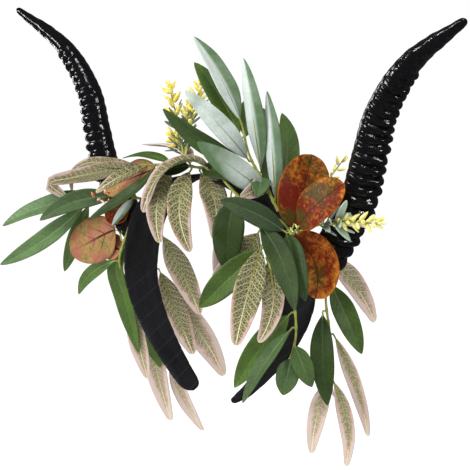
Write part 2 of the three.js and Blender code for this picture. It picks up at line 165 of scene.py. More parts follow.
# Free gap between pieces, and a whole turn, rounded, for phases that are left to chance.
GAP = 0.3
WHOLE_TURN = 6.28
# One unit of the measure map of a leaf or the band.
MEASURE = 100
# Band: half span, drop to the widest place, whole height, half gap of the tips, half the
# thickness, and the powers that square off the arch and draw in the arms.
HALF_SPAN, WIDEST_DROP, HEIGHT, TIP_HALF_GAP, HALF_THICK = 72.0, 70.0, 142.0, 19.6, 1.5
ARCH_POWER, ARM_POWER = 2.28, 1.69
BAND_STEPS = 800
# Its tube: sides and cuts, the power that squares its section, how round its ends are and the
# least they narrow to.
BAND_TUBE, SECTION_POWER, END_POWER, END_LEAST = (36, 300), 0.45, 2.2, 0.02
# Its ribbon: slant of a turn, where along an arm the turns begin and how soon they are full,
# and from which share of a turn the edge is drawn in and by how much.
WRAP_SLANT, WOUND_FROM, WOUND_OVER = 0.45, 0.45, 0.15
DRAWN_FROM, DRAWN_IN = 0.82, 0.035
# Horn: its seat on the band, its axis, the sides and cuts of its tube, the power of its taper,
# how oval it is, and where its point is rounded off and the least that leaves.
HORN_SEAT = (1, 0.435, 3)
HORN_AXIS = [
    (85, 5, -42), (99, 6, -22), (112.5, 4, -2), (121, 3, 24), (128.5, 2.5, 48), (151, -1, 77),
    (195, -9, 103),
]
HORN_TUBE, HORN_TAPER, HORN_OVAL = (40, 330), 2.7, 0.07
POINT_FROM, POINT_LEAST = 0.985, 0.03
# Its rings: where they begin and end, how they close up, the shares of a ring that rise and
# fall, how blunt the fall is, the lobes round a ring and their height, how far round and how
# low the rings run out on the inner side, and how far chance changes a ring's height and
# shifts it to and fro.
RINGS_FROM, RINGS_TO, RINGS_CLOSING = 0.075, 0.745, 1.15
RING_RISE, RING_FALL, FALL_POWER = 0.5, 0.3, 0.6
LOBES, LOBE_HEIGHT = 5, 0.2
RING_REACH, RING_LEAST, RING_POWER = 0.6, 0.12, 0.9
RING_STRENGTH, RING_SHIFT, RING_SEED = (0.8, 1.15), 0.06, 4
# Its plain upper part: height of its facets and dents, where each begin and how soon.
FACETS, FACETS_FROM, DENTS, DENTS_FROM, UPPER_OVER = 0.03, 0.7, 0.05, 0.72, 0.1
# Stems: room taken by a stem and by the foot of a stalk, the length of a step along a stem,
# the reach and height of a knuckle, and the radius at the foot and its loss towards the tip.
STEM_RADIUS, STALK_HALF = 1.3, 0.8
STEM_STEP, KNUCKLE_REACH, KNUCKLE = 1.2, 2.2, 0.35
STEM_FOOT, STEM_TAPER = 0.95, 0.3
# Leaves: the share that is bare stalk, the least width of a blade, from which share of its far
# half the tip is rounded off, how far chance twists it, from where, how high and how often its
# edge ripples at a given width, how far the halves are out of step, and how soft its fold is.
BARE_STALK, BLADE_LEAST, TIP_CAP = 0.04, 0.035, 0.92
TWIST, TWIST_FROM = 12, 0.4
RIPPLE, RIPPLE_WIDTH, WAVES, OUT_OF_STEP = (0.25, 0.6), 16, (1.2, 2.2), 1.5
SOFT_FOLD = 0.8
# A stalk runs on under the blade as far as this share, in so many steps, that far off the
# blade's middle, which it leaves from a share of its bare part over a share of the leaf.
# Its radius at the foot, the loss along it and its point are shares of the stalk's radius.
STALK_UNTIL, STALK_STEPS, STALK_OFF = 0.45, 12, 0.3
STALK_LEAVES, STALK_OVER = 0.7, 0.1
STALK_FOOT, STALK_TAPER, STALK_POINT = 1.1, 0.65, 0.15
# A leaf with no turn has its upper face towards this front right quarter.
FACING = Vector((1, -1, 0.2)).normalized()
# Leaf kinds: columns and rows of the blank, where the outline is fullest, how fast it swells
# from the base, how long its sides stay straight towards the tip and how round and blunt the
# tip is, the trim of its width, and the fold along the midrib in degrees.
KINDS = {
    "willow": {"grid": (38, 12), "full": 0.42, "swell": 2.2, "strap": 2.3, "round": 0.95,
               "blunt": 0.05, "trim": 0.86, "fold": 18},
    "netted": {"grid": (38, 12), "full": 0.38, "swell": 2.0, "strap": 1.9, "round": 0.95,
               "blunt": 0.22, "trim": 0.9, "fold": 17},
    "copper": {"grid": (44, 16), "full": 0.5, "swell": 2.0, "strap": 2.0, "round": 0.52,
               "blunt": 0.0, "trim": 1.0, "fold": 8},
}


def leaf(kind, at, tip, width, turn, bow, **more):
    """A leaf of a spray: its kind, share of the stem, tip, width, turn, bow and more.

    More may be sway (bow to its side), stalk (the share that is bare), via (points it bends
    through on its way), tone of the print, shade (how dark: partly a darker or paler dye,
    partly painted light and shade), halves (how far its halves differ: print on netted and
    copper leaves, painted shade on one half of a silver back), turned (the underside shows),
    rib (how far a rib runs on the near face), small (in one moulding with the stem), roll
    about its own run, and twist along it.
    """
    return SimpleNamespace(kind=kind, at=at, tip=Vector(tip), width=width, turn=turn, bow=bow,
                           more=more)


# Sprays. A stem starts with seats on the band (side, share of the half band, place across)
# and runs on through points.
SPRAYS = {
    "crown": {
        "seats": [],
        "points": [(43, -18.9, -9), (29, -18.6, 0), (15, -17, 7.5), (-3, -17.5, 8.5),
                   (-20, -16.5, 9), (-37, -13, 6.5), (-58, -14, 5)],
        "leaves": [
            leaf("willow", 0.07, (43, -32, -50), 22, 0, 3, tone=0.3, shade=0.9, sway=2),
            leaf("willow", 0.5, (-24, -24, 3), 12, 30, 2, tone=0.4, shade=0.8, small=True),
            leaf("willow", 0.42, (42, -20, 6), 13, -15, 2, tone=0.4, shade=0.85, small=True),
            leaf("willow", 0.86, (-87.0, -33.2, -33.1), 10, 40, 0, tone=0.4, shade=0.85,
                 via=((-41.1, -26.9, -5.1),), small=True),
            leaf("willow", 0.68, (-72, -16, 8), 12, 65, 3, tone=0.1, shade=0.4, small=True),
            leaf("netted", 0.97, (-118, -22, -18), 10, 55, 0, tone=-0.1, shade=0.5,
                 via=((-108, -17.7, 1.3), (-117, -22, -5.5)), twist=30),
            leaf("netted", 0.93, (-73, -38, -13), 10, 35, 3, tone=-0.2, shade=0.35),
            leaf("netted", 0.25, (-34, -32, -22), 17, 0, 0, tone=0.0, shade=0.35,
                 via=((2, -22, 13), (-18.7, -30, 4), (-27, -33, -9.5)), roll=-78, twist=125),
            leaf("netted", 0.67, (-19, -31, -40), 15.5, 10, 4, tone=0.1, shade=0.15, sway=5),
            leaf("netted", 0.49, (9, -31, -42), 17, 0, 8, tone=-0.05, sway=7, halves=-0.3),
            leaf("netted", 0.42, (33, -34, -31), 18, -10, 1, tone=0.1, shade=0.2, sway=-5,
                 halves=0.2),
            leaf("netted", 0.5, (-57, -12, 18), 14, 70, 0, tone=0.7, via=((-18, -12, 16.5),),
                 small=True),
            leaf("netted", 0.12, (27, -25, -60), 13, 0, 2, stalk=0.4, tone=0.9, small=True),
            leaf("netted", 0.96, (-112.6, -30.5, -21.3), 15, 40, 0, tone=0.1, shade=0.6,
                 via=((-114, -26.5, -8.5), (-125.3, -34.8, -12.5)), small=True),
            leaf("copper", 0.84, (-84, -21, -13), 24, 35, 0, tone=0.68, turned=True),
        ],
    },
    "top": {
        "seats": [(1, 0.28, -2)],
        "points": [(45, -3, 1), (36, -7, 17), (29, -8, 37)],
        "leaves": [
            leaf("willow", 1, (2, -23, 89), 18, 40, 3, tone=0.3, turned=True, halves=-1.0),
            leaf("willow", 0.86, (-1.9, -18.8, 73.1), 15, 0, 1, tone=0.05, shade=0.3, sway=2),
            leaf("willow", 0.45, (38, -16, 77), 16, 140, -6, tone=0.3, halves=1.0, sway=-5),
            leaf("willow", 0.11, (52, -10, 58), 15, 140, -3, tone=0.3, halves=1.0, sway=-3),
            leaf("willow", 0.6, (19, -46, 58), 15, 15, 4, tone=0.8, turned=True),
            leaf("willow", 0.53, (2, -48, 46), 16, -35, 5, tone=0.35, shade=0.55),
            leaf("willow", 0.22, (29, -45, 28), 18, 0, 3, tone=0.3, turned=True, halves=0.2,
                 shade=0.85),
            leaf("willow", 0.84, (16, 10, 50), 14, 10, 2, tone=0.2, shade=0.5, small=True),
            leaf("willow", 0.12, (40, 16, 43), 17, 0, 2, sway=6, tone=0.15, shade=0.4, small=True),
            leaf("willow", 0.27, (33, 7, 46), 15, 20, 2, tone=0.3, shade=0.6, small=True),
            leaf("willow", 0.4, (55, -20, -4), 14, 0, 2, tone=0.95, shade=-0.5, small=True),
            leaf("netted", 0.34, (46, -25, -5), 12, -10, 3, tone=0.3, small=True),
        ],
    },
    "right": {
        "seats": [(1, 0.29, -9)],
        "points": [(73, -14, -20), (80, -16, -25)],
        "leaves": [
            leaf("willow", 0.9, (43, -39, -6), 15.5, -10, 3, tone=1.0, shade=0.75, sway=3),
            leaf("willow", 0.8, (103, -28, -59), 18, 25, 3, tone=0.5, shade=0.85, sway=-2),
            leaf("copper", 0.88, (81, -1, 22), 30, 5, 3, tone=0.15),
            leaf("copper", 1, (117, -13, 9), 25, -40, 5, tone=0.18, stalk=0.22, halves=-0.25),
            leaf("copper", 0.94, (95, -11, -61), 28, 10, 4, sway=-8, tone=0.38, halves=0.3),
        ],
    },
    "front": {
        "seats": [],
        "points": [(46, -18.9, -11), (56, -21, -18), (63, -22, -28), (69, -23, -42),
                   (71, -22, -55)],
        "leaves": [
            leaf("willow", 0.56, (23, -36, -74), 19, 10, 4, tone=0.0, shade=0.4),
            leaf("willow", 0.3, (101, -35, -64), 16.5, 0, 4, tone=0.45, shade=0.85, sway=-4),
            leaf("netted", 0.36, (24.7, -26.2, -57.3), 21, 0, -2, tone=-0.05, shade=0.3, sway=-3),
            leaf("netted", 0.52, (55.5, -37, -92), 19.5, 0, 5, tone=-0.1, sway=1, halves=0.3),
            leaf("netted", 0.68, (62, -24, -91), 15, 10, 2, sway=-7, tone=0.1, halves=-0.3),
        ],
    },
    "right_front": {
        "seats": [(1, 0.44, -12)],
        "points": [(79, -11, -71), (80, -11, -87), (78, -13, -100)],
        "leaves": [
            leaf("willow", 0.5, (47, -29, -121), 18.5, 5, -2, tone=0.0, shade=0.1, sway=2),
            leaf("willow", 0.66, (62, -37, -126), 12.5, 45, 3, tone=0.75, shade=0.1),
            leaf("willow", 0.84, (93, -10, -115), 14, 5, 2, tone=0.6, shade=0.4, small=True),
            leaf("willow", 0.98, (79, -20, -121), 16, 0, 2, tone=0.8, shade=0.1, small=True),
        ],
    },
    "right_back": {
        "seats": [(1, 0.28, 11), (1, 0.33, 13)],
        "points": [(75, 20, -42), (84, 11, -68), (88, 11, -88), (88, 14, -115)],
        "leaves": [
            leaf("willow", 0.62, (95, 2, -128), 17, 20, 4, tone=0.3, shade=0.8),
            leaf("willow", 0.46, (104, 22, -98), 16, -5, 4, tone=0.1, shade=0.45),
            leaf("netted", 0.3, (95, 44, -83), 15, -20, 5, tone=0.6, rib=0.55, sway=-1),
            leaf("netted", 0.75, (99.5, 35.5, -153), 11, 30, 2, tone=0.8, rib=0.75, sway=-4.5),
            leaf("netted", 0.99, (84.5, 0.5, -160), 12.5, 5, 4, tone=0.85, sway=2),
            leaf("netted", 1, (93, 23, -171), 11.5, 25, 1, tone=0.7, rib=0.8, sway=-5.5),
            leaf("netted", 0.68, (83, 22, -129), 12, 70, 3, tone=0.6, small=True),
        ],
    },
    "left": {
        "seats": [(-1, 0.31, -6)],
        "points": [(-85, -11, -18), (-107, -18, -26)],
        "leaves": [
            leaf("willow", 0.62, (-161, -48, -44), 18, 45, 5, tone=1.0, shade=-0.7, sway=2),
            leaf("willow", 0.44, (-122, -46, -36), 15.5, 15, 5, tone=0.9, shade=0.3, sway=4),
            leaf("willow", 1, (-148, -60, -68), 15.5, 20, 1, tone=0.9, shade=-0.6, sway=-4),
            leaf("willow", 0.95, (-134.5, -15.5, -76), 13, 10, 2, tone=0.4, shade=0.1, small=True),
            leaf("copper", 0.3, (-86, -18, -35), 23, 40, -1, tone=0.1),
            leaf("willow", 0.2, (-76, -22, -37), 7, 20, 1, tone=1.0, halves=0.9, turned=True,
                 small=True),
        ],
    },
    "left_front": {
        "seats": [(-1, 0.41, -12)],
        "points": [(-80, -12, -60), (-88, -2, -74), (-91, 9, -90), (-89, 22, -114)],
        "leaves": [
            leaf("willow", 0.3, (-127, -9, -92), 11, 15, 3, tone=0.5, shade=-0.3, sway=4),
            leaf("willow", 0.1, (-88, 12, -130), 16, 25, 0, tone=0.2,
                 via=((-88, -8, -68), (-88, 0, -92))),
            leaf("netted", 0.72, (-88, 21, -150), 15, 20, 3, tone=0.5, rib=0.4),
            leaf("netted", 1, (-89.5, 44.5, -185), 18, 20, -3, tone=0.7, rib=0.4, sway=3),
            leaf("copper", 0.12, (-111, -29, -57.5), 31, 185, 3, stalk=0.2, tone=0.5, rib=0.45,
                 via=((-79, -15.3, -41),)),
            leaf("copper", 0.2, (-99, -14, -51), 18, 180, 2, tone=0.4, rib=0.45, small=True),
            leaf("willow", 0.75, (-88, 33, -144), 13, 10, 1, tone=0.15, small=True),
        ],
    },
    "left_back": {
        "seats": [(-1, 0.28, 10), (-1, 0.33, 12)],
        "points": [(-78, 22, -42), (-86, 27, -60), (-90, 29, -88), (-90, 34, -116),
                   (-86, 41, -143)],
        "leaves": [
            leaf("netted", 0.3, (-65, 48, -104), 18.5, 10, 4, tone=0.2, rib=0.8, sway=-2.5,
                 halves=0.8),
            leaf("netted", 0.5, (-72, 49, -134), 19, 0, 4, tone=0.2, rib=0.75, halves=1.0),
            leaf("netted", 0.6, (-70, 77, -154), 21, 5, 3, tone=0.6, sway=-5, halves=-0.3),
            leaf("netted", 0.97, (-76, 63, -193), 14, 35, 3, tone=1.0, small=True),
        ],
    },
}
# Sprigs: the spray and share of its stem they leave, their tips, how many narrow leaves and
# buds each tip has and how large they are, where the buds begin and how far the stalk is bare.
# tone runs from dark to sage narrow leaves.
SPRIGS = {
    "crown": {"spray": "crown", "at": 0.56, "needles": 9, "long": 1.2, "buds": 13, "full": 1.4,
              "budding": 0.58, "bare": 0.2, "tone": 0.0,
              "tips": [(-34.2, -10.2, 57.4), (-13.3, -2.0, 59.8), (-21.6, -4.7, 45.0),
                       (-31.8, -9.2, 24.4)]},
    "back": {"spray": "right_back", "at": 0.1, "needles": 8, "long": 1.0, "buds": 9, "full": 1.0,
             "budding": 0.55, "bare": 0.2, "tone": 0.4, "tips": [(84, 24, 18)]},
    "horn": {"spray": "right", "at": 0.97, "needles": 12, "long": 1.8, "buds": 26, "full": 1.25,
             "budding": 0.48, "bare": 0.32, "tone": 0.9, "tips": [(142.1, -10.6, -11.3)]},
}
# Turn from one bud or narrow leaf to the next, as plants have it.
NEXT_TURN = math.radians(137.5)
# A sprig's rod: its steps, its radius at the foot and the loss towards the tip, and its arch
# as a share of its reach.
ROD_STEPS, ROD_FOOT, ROD_TAPER, ROD_ARCH = 16, 0.7, 0.35, 0.06
# A narrow leaf: length, width, crease, curl and wall.
NEEDLE_LONG, NEEDLE_WIDE, NEEDLE_CREASE, NEEDLE_CURL, NEEDLE_WALL = 9, 1.9, 1.1, 1.2, 0.4
# How steeply narrow leaves leave the rod, how far they run on among the buds, and how far
# chance changes their size and tone.
NEEDLE_LEAN, NEEDLE_PAST, NEEDLE_SIZE, NEEDLE_TONE = 0.9, 0.1, (0.75, 1.15), 0.25
# A bud: how far its tip is pinched, and how far its waist is drawn in below which height.
BUD_PINCH, BUD_WAIST, WAIST_BELOW = 0.35, 0.15, -0.8
# Buds stand off the rod, spread, and close up over the last share of it. The very last are
# smaller, and chance changes their size.
BUD_OFF, BUD_SPREAD, BUD_CLOSE, CLOSE_FROM = 0.6, 1.1, 0.9, 0.85
BUD_SIZE, BUD_LARGE, LAST_LOSS, LAST_FROM = (0.8, 1.2), 1.1, 0.3, 0.95
SPRIG_SEED = 9
# Coral buds: how many, the places of the first and the next on the left stem, how far they
# stand out towards the front and aside, their size, and the radii of a stalk.
CORAL_BUDS, CORAL_FROM, CORAL_STEP, CORAL_OUT, CORAL_ASIDE = 9, 0.42, 0.05, 14, 2.2
CORAL_SIZE, CORAL_STALK = (0.9, 1.3), (0.4, 0.35, 0.3)
# Pale buds at the end of the right stem: how many, their foot off its end, the step from one
# to the next of three, a tone far past the yellow, their size and their lean to the front.
PALE_BUDS, PALE_FOOT = 7, FACING * 2.5 + Vector((0, 0, 3))
PALE_STEP, PALE_TONE = Vector((1.2, 1.2, 0.6)), 3.0
PALE_SIZE, PALE_LEAN = (0.5, 0.7), 0.6
# Stage, in metres: the floor's size and squares, the sun's place and breadth, the soft boxes
# (place, power, width, height), where they all point, the fill that gloss sees, the camera's
# aim and its sensor in millimetres.
FLOOR_SIZE, FLOOR_SQUARES = 80, 8
SUN_PLACE, SUN_BREADTH = (-0.1, -1.3, 1.35), math.radians(60)
SOFT_BOXES = (
    ((-0.75, -1.05, 0.35), 9.0, 0.7, 0.12),
    ((-1.25, 0.25, 0.0), 2.5, 0.08, 0.9),
    ((0.5, -0.6, 1.2), 6.0, 0.4, 0.2),
    ((1.2, 0.2, 0.55), 6.0, 0.3, 0.15),
)
LIT_PLACE, GLOSS_FILL = Vector((0, 0, -0.03)), 0.06
CAMERA_AIM, SENSOR = Vector((54.1, -37.4, -25.5)) * MM, 36


def clamp(value):
    """A value held between 0 and 1."""
    return min(max(value, 0.0), 1.0)


class Line:
    """A line through close points, read by share of its length, in millimetres."""

    NUDGE = 0.004

    def __init__(self, samples):
        self.samples = samples
        self.reach = [0.0]
        for here, there in zip(samples, samples[1:]):
            self.reach.append(self.reach[-1] + (there - here).length)
        self.length = self.reach[-1]

    def at(self, share):
        want = clamp(share) * self.length
        low, high = 0, len(self.reach) - 1
        while high - low > 1:
            middle = (low + high) // 2
            low, high = (middle, high) if self.reach[middle] <= want else (low, middle)
        span = self.reach[high] - self.reach[low]
        return self.samples[low].lerp(self.samples[high], (want - self.reach[low]) / span)

    def run(self, share):
        return (self.at(share + self.NUDGE) - self.at(share - self.NUDGE)).normalized()


def smooth_line(points, finer=40):
    """A smooth line through points, eased so that unequal spans make no loops."""
    points = [Vector(point) for point in points]
    chain = [points[0] * 2 - points[1], *points, points[-1] * 2 - points[-2]]
    samples = []
    for a, b, c, d in zip(chain, chain[1:], chain[2:], chain[3:]):
        ab, bc, cd = (b - a).length ** 0.5, (c - b).length ** 0.5, (d - c).length ** 0.5
        leave = ((b - a) / ab - (c - a) / (ab + bc) + (c - b) / bc) * bc
        arrive = ((c - b) / bc - (d - b) / (bc + cd) + (d - c) / cd) * bc
        bend, close = (c - b) * 3 - leave * 2 - arrive, (b - c) * 2 + leave + arrive
        for step in range(finer):
            t = step / finer
            samples.append(b + leave * t + bend * t ** 2 + close * t ** 3)
    return Line(samples + [points[-1]])


def half_band():
    """The middle line of the band from the crown to the right tip."""
    samples = []
    for step in range(BAND_STEPS + 1):
        share = step / BAND_STEPS
        if share < 0.5:
            turn = share * math.pi
            power = 2 / ARCH_POWER
            x = HALF_SPAN * math.sin(turn) ** power
            z = HALF_THICK - WIDEST_DROP * (1 - math.cos(turn) ** power)
        else:
            drop = (share - 0.5) * 2
            x = TIP_HALF_GAP + (HALF_SPAN - TIP_HALF_GAP) * (1 - drop ** ARM_POWER)
            z = HALF_THICK - WIDEST_DROP - (HEIGHT - WIDEST_DROP) * drop
        samples.append(Vector((x, 0, z)))
    return Line(samples)


HALF_BAND = half_band()


def band_frame(side, along):
    """Place and outward direction on the band's middle line."""
    at, run = HALF_BAND.at(along), HALF_BAND.run(along)
    if along < Line.NUDGE:
        run = Vector((1, 0, 0))
    return Vector((at.x * side, 0, at.z)), Vector((-run.z * side, 0, run.x))


def seat_point(seat, lift):
    """A point off the band's outer face."""
    side, along, across = seat
    at, out = band_frame(side, along)
    point = at + out * (HALF_THICK + lift)
    point.y = across
    return point


STEM_LINES = {
    spray: smooth_line([*(seat_point(seat, STEM_RADIUS + GAP) for seat in row["seats"]),
                        *row["points"]])
    for spray, row in SPRAYS.items()
}


def root_point(line, at, tip):
    """Where a leaf or sprig leaves its stem: off its side towards the tip, or past its end."""
    start, run = line.at(at), line.run(at)
    way = (tip - start).normalized()
    along = way.dot(run)
    aside = way - run * along
    if at == 1:
        return start + run * (GAP + STALK_HALF * aside.length)
    return start + aside.normalized() * (STEM_RADIUS + GAP + STALK_HALF * abs(along))


def outline(kind, share):
    """Half width of a leaf at a share of its blade, as a share of its fullest half width."""
    shape = KINDS[kind]
    full = shape["full"]
    if share < full:
        wide = (1 - ((full - share) / full) ** shape["swell"]) ** shape["round"]
    else:
        past = min((share - full) / (1 - full), 1.0)
        wide = max(1 - past ** shape["strap"], 0.0) ** shape["round"]
        wide = shape["blunt"] + (1 - shape["blunt"]) * wide
        if past > TIP_CAP:
            wide *= max(1 - ((past - TIP_CAP) / (1 - TIP_CAP)) ** 2, 0.0) ** 0.5
    return wide * (1 - BLADE_LEAST) + BLADE_LEAST


def leaf_arc(root, tip, turn, bow, sway=0.0, twist=0.0, roll=0.0, via=()):
    """Gives the place of a leaf's point from its share of the length, side and height."""
    run = (tip - root).normalized()
    flat = run.cross(FACING).normalized()
    flat.rotate(Quaternion(run, math.radians(turn)))
    face = flat.cross(run)
    path = smooth_line([root, *via, tip])
    slip = 0.01

    def middle(along):
        arch = 4 * along * (1 - along)
        return path.at(along) + face * (bow * arch) + flat * (sway * arch)

    def place(along, side, height):
        local = (middle(min(along + slip, 1)) - middle(max(along - slip, 0))).normalized()
        up = (face - local * face.dot(local)).normalized()
        across = local.cross(up)
        lean = math.radians(roll + twist * (along - TWIST_FROM))
        here = across * math.cos(lean) + up * math.sin(lean)
        return middle(along) + here * side + here.cross(local) * height

    return place, path.length


# ---------------------------------------------------------------- modelling by operators


def clear_selection():
    """Object mode with nothing selected."""
    if bpy.context.object is not None and bpy.context.object.mode != "OBJECT":
        bpy.ops.object.mode_set(mode="OBJECT")
    bpy.ops.object.select_all(action="DESELECT")


def pick(piece, *others):
    """Only these objects selected, the first of them active."""
    clear_selection()
    for each in (piece, *others):
        each.select_set(True)
    bpy.context.view_layer.objects.active = piece


def pick_points(piece, indices):
    """Only these points of a piece selected, in edit mode."""
    bpy.ops.mesh.select_all(action="DESELECT")
    skin = bmesh.from_edit_mesh(piece.data)
    skin.verts.ensure_lookup_table()
    for index in indices:
        skin.verts[index].select = True
    skin.select_flush_mode()
    bmesh.update_edit_mesh(piece.data)


def point_rows(mesh, axis, digits):
    """The points of a mesh in rows, by their place along an axis."""
    rows = {}
    for vert in mesh.vertices:
        rows.setdefault(round(vert.co[axis], digits), []).append(vert.index)
    return rows


def new_piece(name, data):
    """An object of its own for a mesh or curve."""
    piece = bpy.data.objects.new(name, data)
    bpy.context.scene.collection.objects.link(piece)
    return piece


def settle(piece, slot, *nodes):
    """A finished piece: it rides on the headband and stands for the solids it dresses."""
    if not piece.data.polygons:
        raise RuntimeError(f"{piece.name} has no faces")
    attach(piece, "root")
    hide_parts(*nodes)


def settle_together(parts, name, slot, node):
    """Many small parts joined to one finished piece."""
    pick(*parts)
    bpy.ops.object.join()
    parts[0].name = name
    settle(parts[0], slot, node)


def coat(mesh, material):
    """One material all over a mesh."""
    mesh.materials.clear()
    mesh.materials.append(material)


def mark(mesh, tone, seed=0.0, halves=0.0):
    """A leaf's or bud's tone, seed and halves (on a silver back, painted shade on one half), for
    its material to read.
    """
    own = mesh.attributes.new("leaf", "FLOAT_VECTOR", "POINT")
    own.data.foreach_set("vector", (tone, seed, halves) * len(mesh.vertices))


def thicken(piece, **wall):
    """A flat piece given its wall and made smooth."""
    pick(piece)
    bpy.ops.object.modifier_add(type="SOLIDIFY")
    modifier = piece.modifiers[-1]
    for key, value in wall.items():
        setattr(modifier, key, value)
    bpy.ops.object.modifier_apply(modifier=modifier.name)
    bpy.ops.object.shade_smooth()


def face_outward(piece, angle):
    """Faces turned outward, and smooth where they meet at less than an angle in degrees."""
    pick(piece)
    bpy.ops.object.mode_set(mode="EDIT")
    bpy.ops.mesh.select_all(action="SELECT")
    bpy.ops.mesh.normals_make_consistent(inside=False)
    bpy.ops.object.mode_set(mode="OBJECT")
    bpy.ops.object.shade_smooth_by_angle(angle=math.radians(angle))


def model_tube(name, sides, cuts):
    """A tube of unit length along Z with many even rings, ready to be drawn along a line."""
    clear_selection()
    bpy.ops.mesh.primitive_cylinder_add(vertices=sides, radius=1, depth=1, end_fill_type="NGON")
    tube = bpy.context.object
    tube.name = name
    bpy.ops.object.mode_set(mode="EDIT")
    bpy.ops.mesh.select_mode(type="EDGE")
    bpy.ops.mesh.select_all(action="DESELECT")
    skin = bmesh.from_edit_mesh(tube.data)
    for edge in skin.edges:
        edge.select = abs(edge.verts[0].co.z - edge.verts[1].co.z) > 0.5
    bmesh.update_edit_mesh(tube.data)
    bpy.ops.mesh.subdivide_edgering(number_cuts=cuts, interpolation="LINEAR")
    bpy.ops.object.mode_set(mode="OBJECT")
    return tube


def model_blank(kind, columns, rows):
    """One flat leaf of unit length and width: a grid with its columns drawn in to the outline."""
    clear_selection()
    bpy.ops.mesh.primitive_grid_add(x_subdivisions=columns, y_subdivisions=rows, size=1,
                                    location=(0.5, 0, 0))
    bpy.ops.object.transform_apply(location=True, rotation=False, scale=False)
    blank = bpy.context.object
    blank.name = f"{kind}_blank"
    by_place = point_rows(blank.data, 0, 4)
    bpy.ops.object.mode_set(mode="EDIT")
    bpy.ops.mesh.select_mode(type="VERT")
    for place, indices in by_place.items():
        pick_points(blank, indices)
        eased = (1 - math.cos(place * math.pi)) / 2
        bpy.ops.transform.resize(value=(1, outline(kind, eased), 1), center_override=(place, 0, 0))
        bpy.ops.transform.translate(value=(eased - place, 0, 0))
    bpy.ops.object.mode_set(mode="OBJECT")
    share = blank.data.uv_layers[0]
    share.name = "share"
    for loop in blank.data.loops:
        spot = blank.data.vertices[loop.vertex_index].co
        share.data[loop.index].uv = (spot.x, 0.5 + spot.y / outline(kind, spot.x))
    blank.hide_render = True
    return blank


def model_rod(name, points, radii, material, rounding=2):
    """A round rod through points in millimetres, each with its own radius."""
    curve = bpy.data.curves.new(name, "CURVE")
    curve.dimensions = "3D"
    curve.bevel_depth = MM
    curve.bevel_resolution = rounding
    curve.use_fill_caps = True
    spline = curve.splines.new("POLY")
    spline.points.add(len(points) - 1)
    for knot, point, radius in zip(spline.points, points, radii):
        knot.co = (*(point * MM), 1)
        knot.radius = radius
    curve.materials.append(material)
    rod = new_piece(name, curve)
    pick(rod)
    bpy.ops.object.convert(target="MESH")
    bpy.ops.object.shade_smooth()
    return rod


def lay_leaf(blank, name, row, root, start, finishes, seed):
    """A copy of the blank laid along its arc and thickened, with its stalk or rib."""
    shape, more = KINDS[row.kind], row.more
    bare, width = more.get("stalk", BARE_STALK), row.width * shape["trim"]
    chance = random.Random(seed)
    twist = more.get("twist", chance.uniform(-TWIST, TWIST))
    place, reach = leaf_arc(root, row.tip, row.turn, row.bow, more.get("sway", 0), twist,
                            more.get("roll", 0), more.get("via", ()))
    fold = math.tan(math.radians(shape["fold"]))
    ripple = chance.uniform(*RIPPLE) * width / RIPPLE_WIDTH
    drift, waves = chance.uniform(0, WHOLE_TURN), chance.uniform(*WAVES)
    mesh = blank.data.copy()
    flat = [(vert.co.x, vert.co.y) for vert in mesh.vertices]
    measure = mesh.uv_layers.new(name="measure")
    for loop in mesh.loops:
        x, y = flat[loop.vertex_index]
        measure.data[loop.index].uv = (x * reach / MEASURE, 0.5 + y * width / MEASURE)
    for vert, (x, y) in zip(mesh.vertices, flat):
        edge, side = 2 * y / outline(row.kind, x), -y * width
        wave = math.sin(waves * WHOLE_TURN * x + drift + OUT_OF_STEP * (edge > 0))
        lift = fold * (math.hypot(side, SOFT_FOLD) - SOFT_FOLD)
        lift += ripple * edge ** 2 * wave * math.sin(math.pi * x)
        vert.co = place(bare + (1 - bare) * x, side, lift) * MM
    near, far, plastic = finishes
    for finish in ((far, near) if more.get("turned") else (near, far)):
        mesh.materials.append(finish)
    blade = new_piece(name, mesh)
    wall = bpy.context.scene.headband_leaves.wall
    thicken(blade, thickness=wall, offset=0, material_offset=1)
    # Halves are print on netted and copper leaves and painted shade on one half of a silver back;
    # the shade value is partly a darker or paler dye, partly painted light and shade.
    usual_halves = 0.5 if row.kind == "netted" else 0.0
    mark(blade.data, more.get("tone", 0.5), chance.uniform(0, 50), more.get("halves", usual_halves))
    dark = blade.data.attributes.new("shade", "FLOAT", "POINT")
    dark.data.foreach_set("value", [more.get("shade", 0.0)] * len(blade.data.vertices))
    rib = more.get("rib", 0)
    off = STALK_OFF if rib else -STALK_OFF
    until = bare + (rib or STALK_UNTIL) * (1 - bare)
    thick = bpy.context.scene.headband_stems.stalk_radius / MM
    points, radii = [start], [thick * STALK_FOOT]
    for step in range(STALK_STEPS + 1):
        along = until * step / STALK_STEPS
        points.append(place(along, 0, off * clamp((along - bare * STALK_LEAVES) / STALK_OVER)))
        radii.append(thick * (1 - STALK_TAPER * step / STALK_STEPS))
    radii[-1] = thick * STALK_POINT
    stalk = model_rod(f"{name}_stalk", points, radii, plastic, rounding=1)
    pick(blade, stalk)
    bpy.ops.object.join()
    return blade


def lay_leaves(kind, near, far, slot):
    """Every leaf of one kind, on every spray."""
    finishes = (near, far, bpy.data.materials["moulded_stem_plastic"])
    blank = model_blank(kind, *KINDS[kind]["grid"])
    for number_of_spray, (spray, row) in enumerate(SPRAYS.items()):
        line = STEM_LINES[spray]
        count, small = 0, 0
        for place, each in enumerate(row["leaves"]):
            if each.kind != kind:
                continue
            start = line.at(each.at)
            if each.more.get("small"):
                small += 1
                name, node, root = f"small_{kind}_leaf_{spray}_{small}", f"{spray}_stem", start
            else:
                count += 1
                node = f"{kind}_leaf_{spray}_{count}"
                name, root = f"pressed_{node}", root_point(line, each.at, each.tip)
            seed = 100 * number_of_spray + place
            settle(lay_leaf(blank, name, each, root, start, finishes, seed), slot, node)
    bpy.data.objects.remove(blank)


# ---------------------------------------------------------------- finishes


def fill(tree, pairs):
    """Links each socket to another one, or sets its value."""
    for socket, value in pairs:
        if isinstance(value, bpy.types.NodeSocket):
            tree.links.new(value, socket)
        else:
            socket.default_value = value


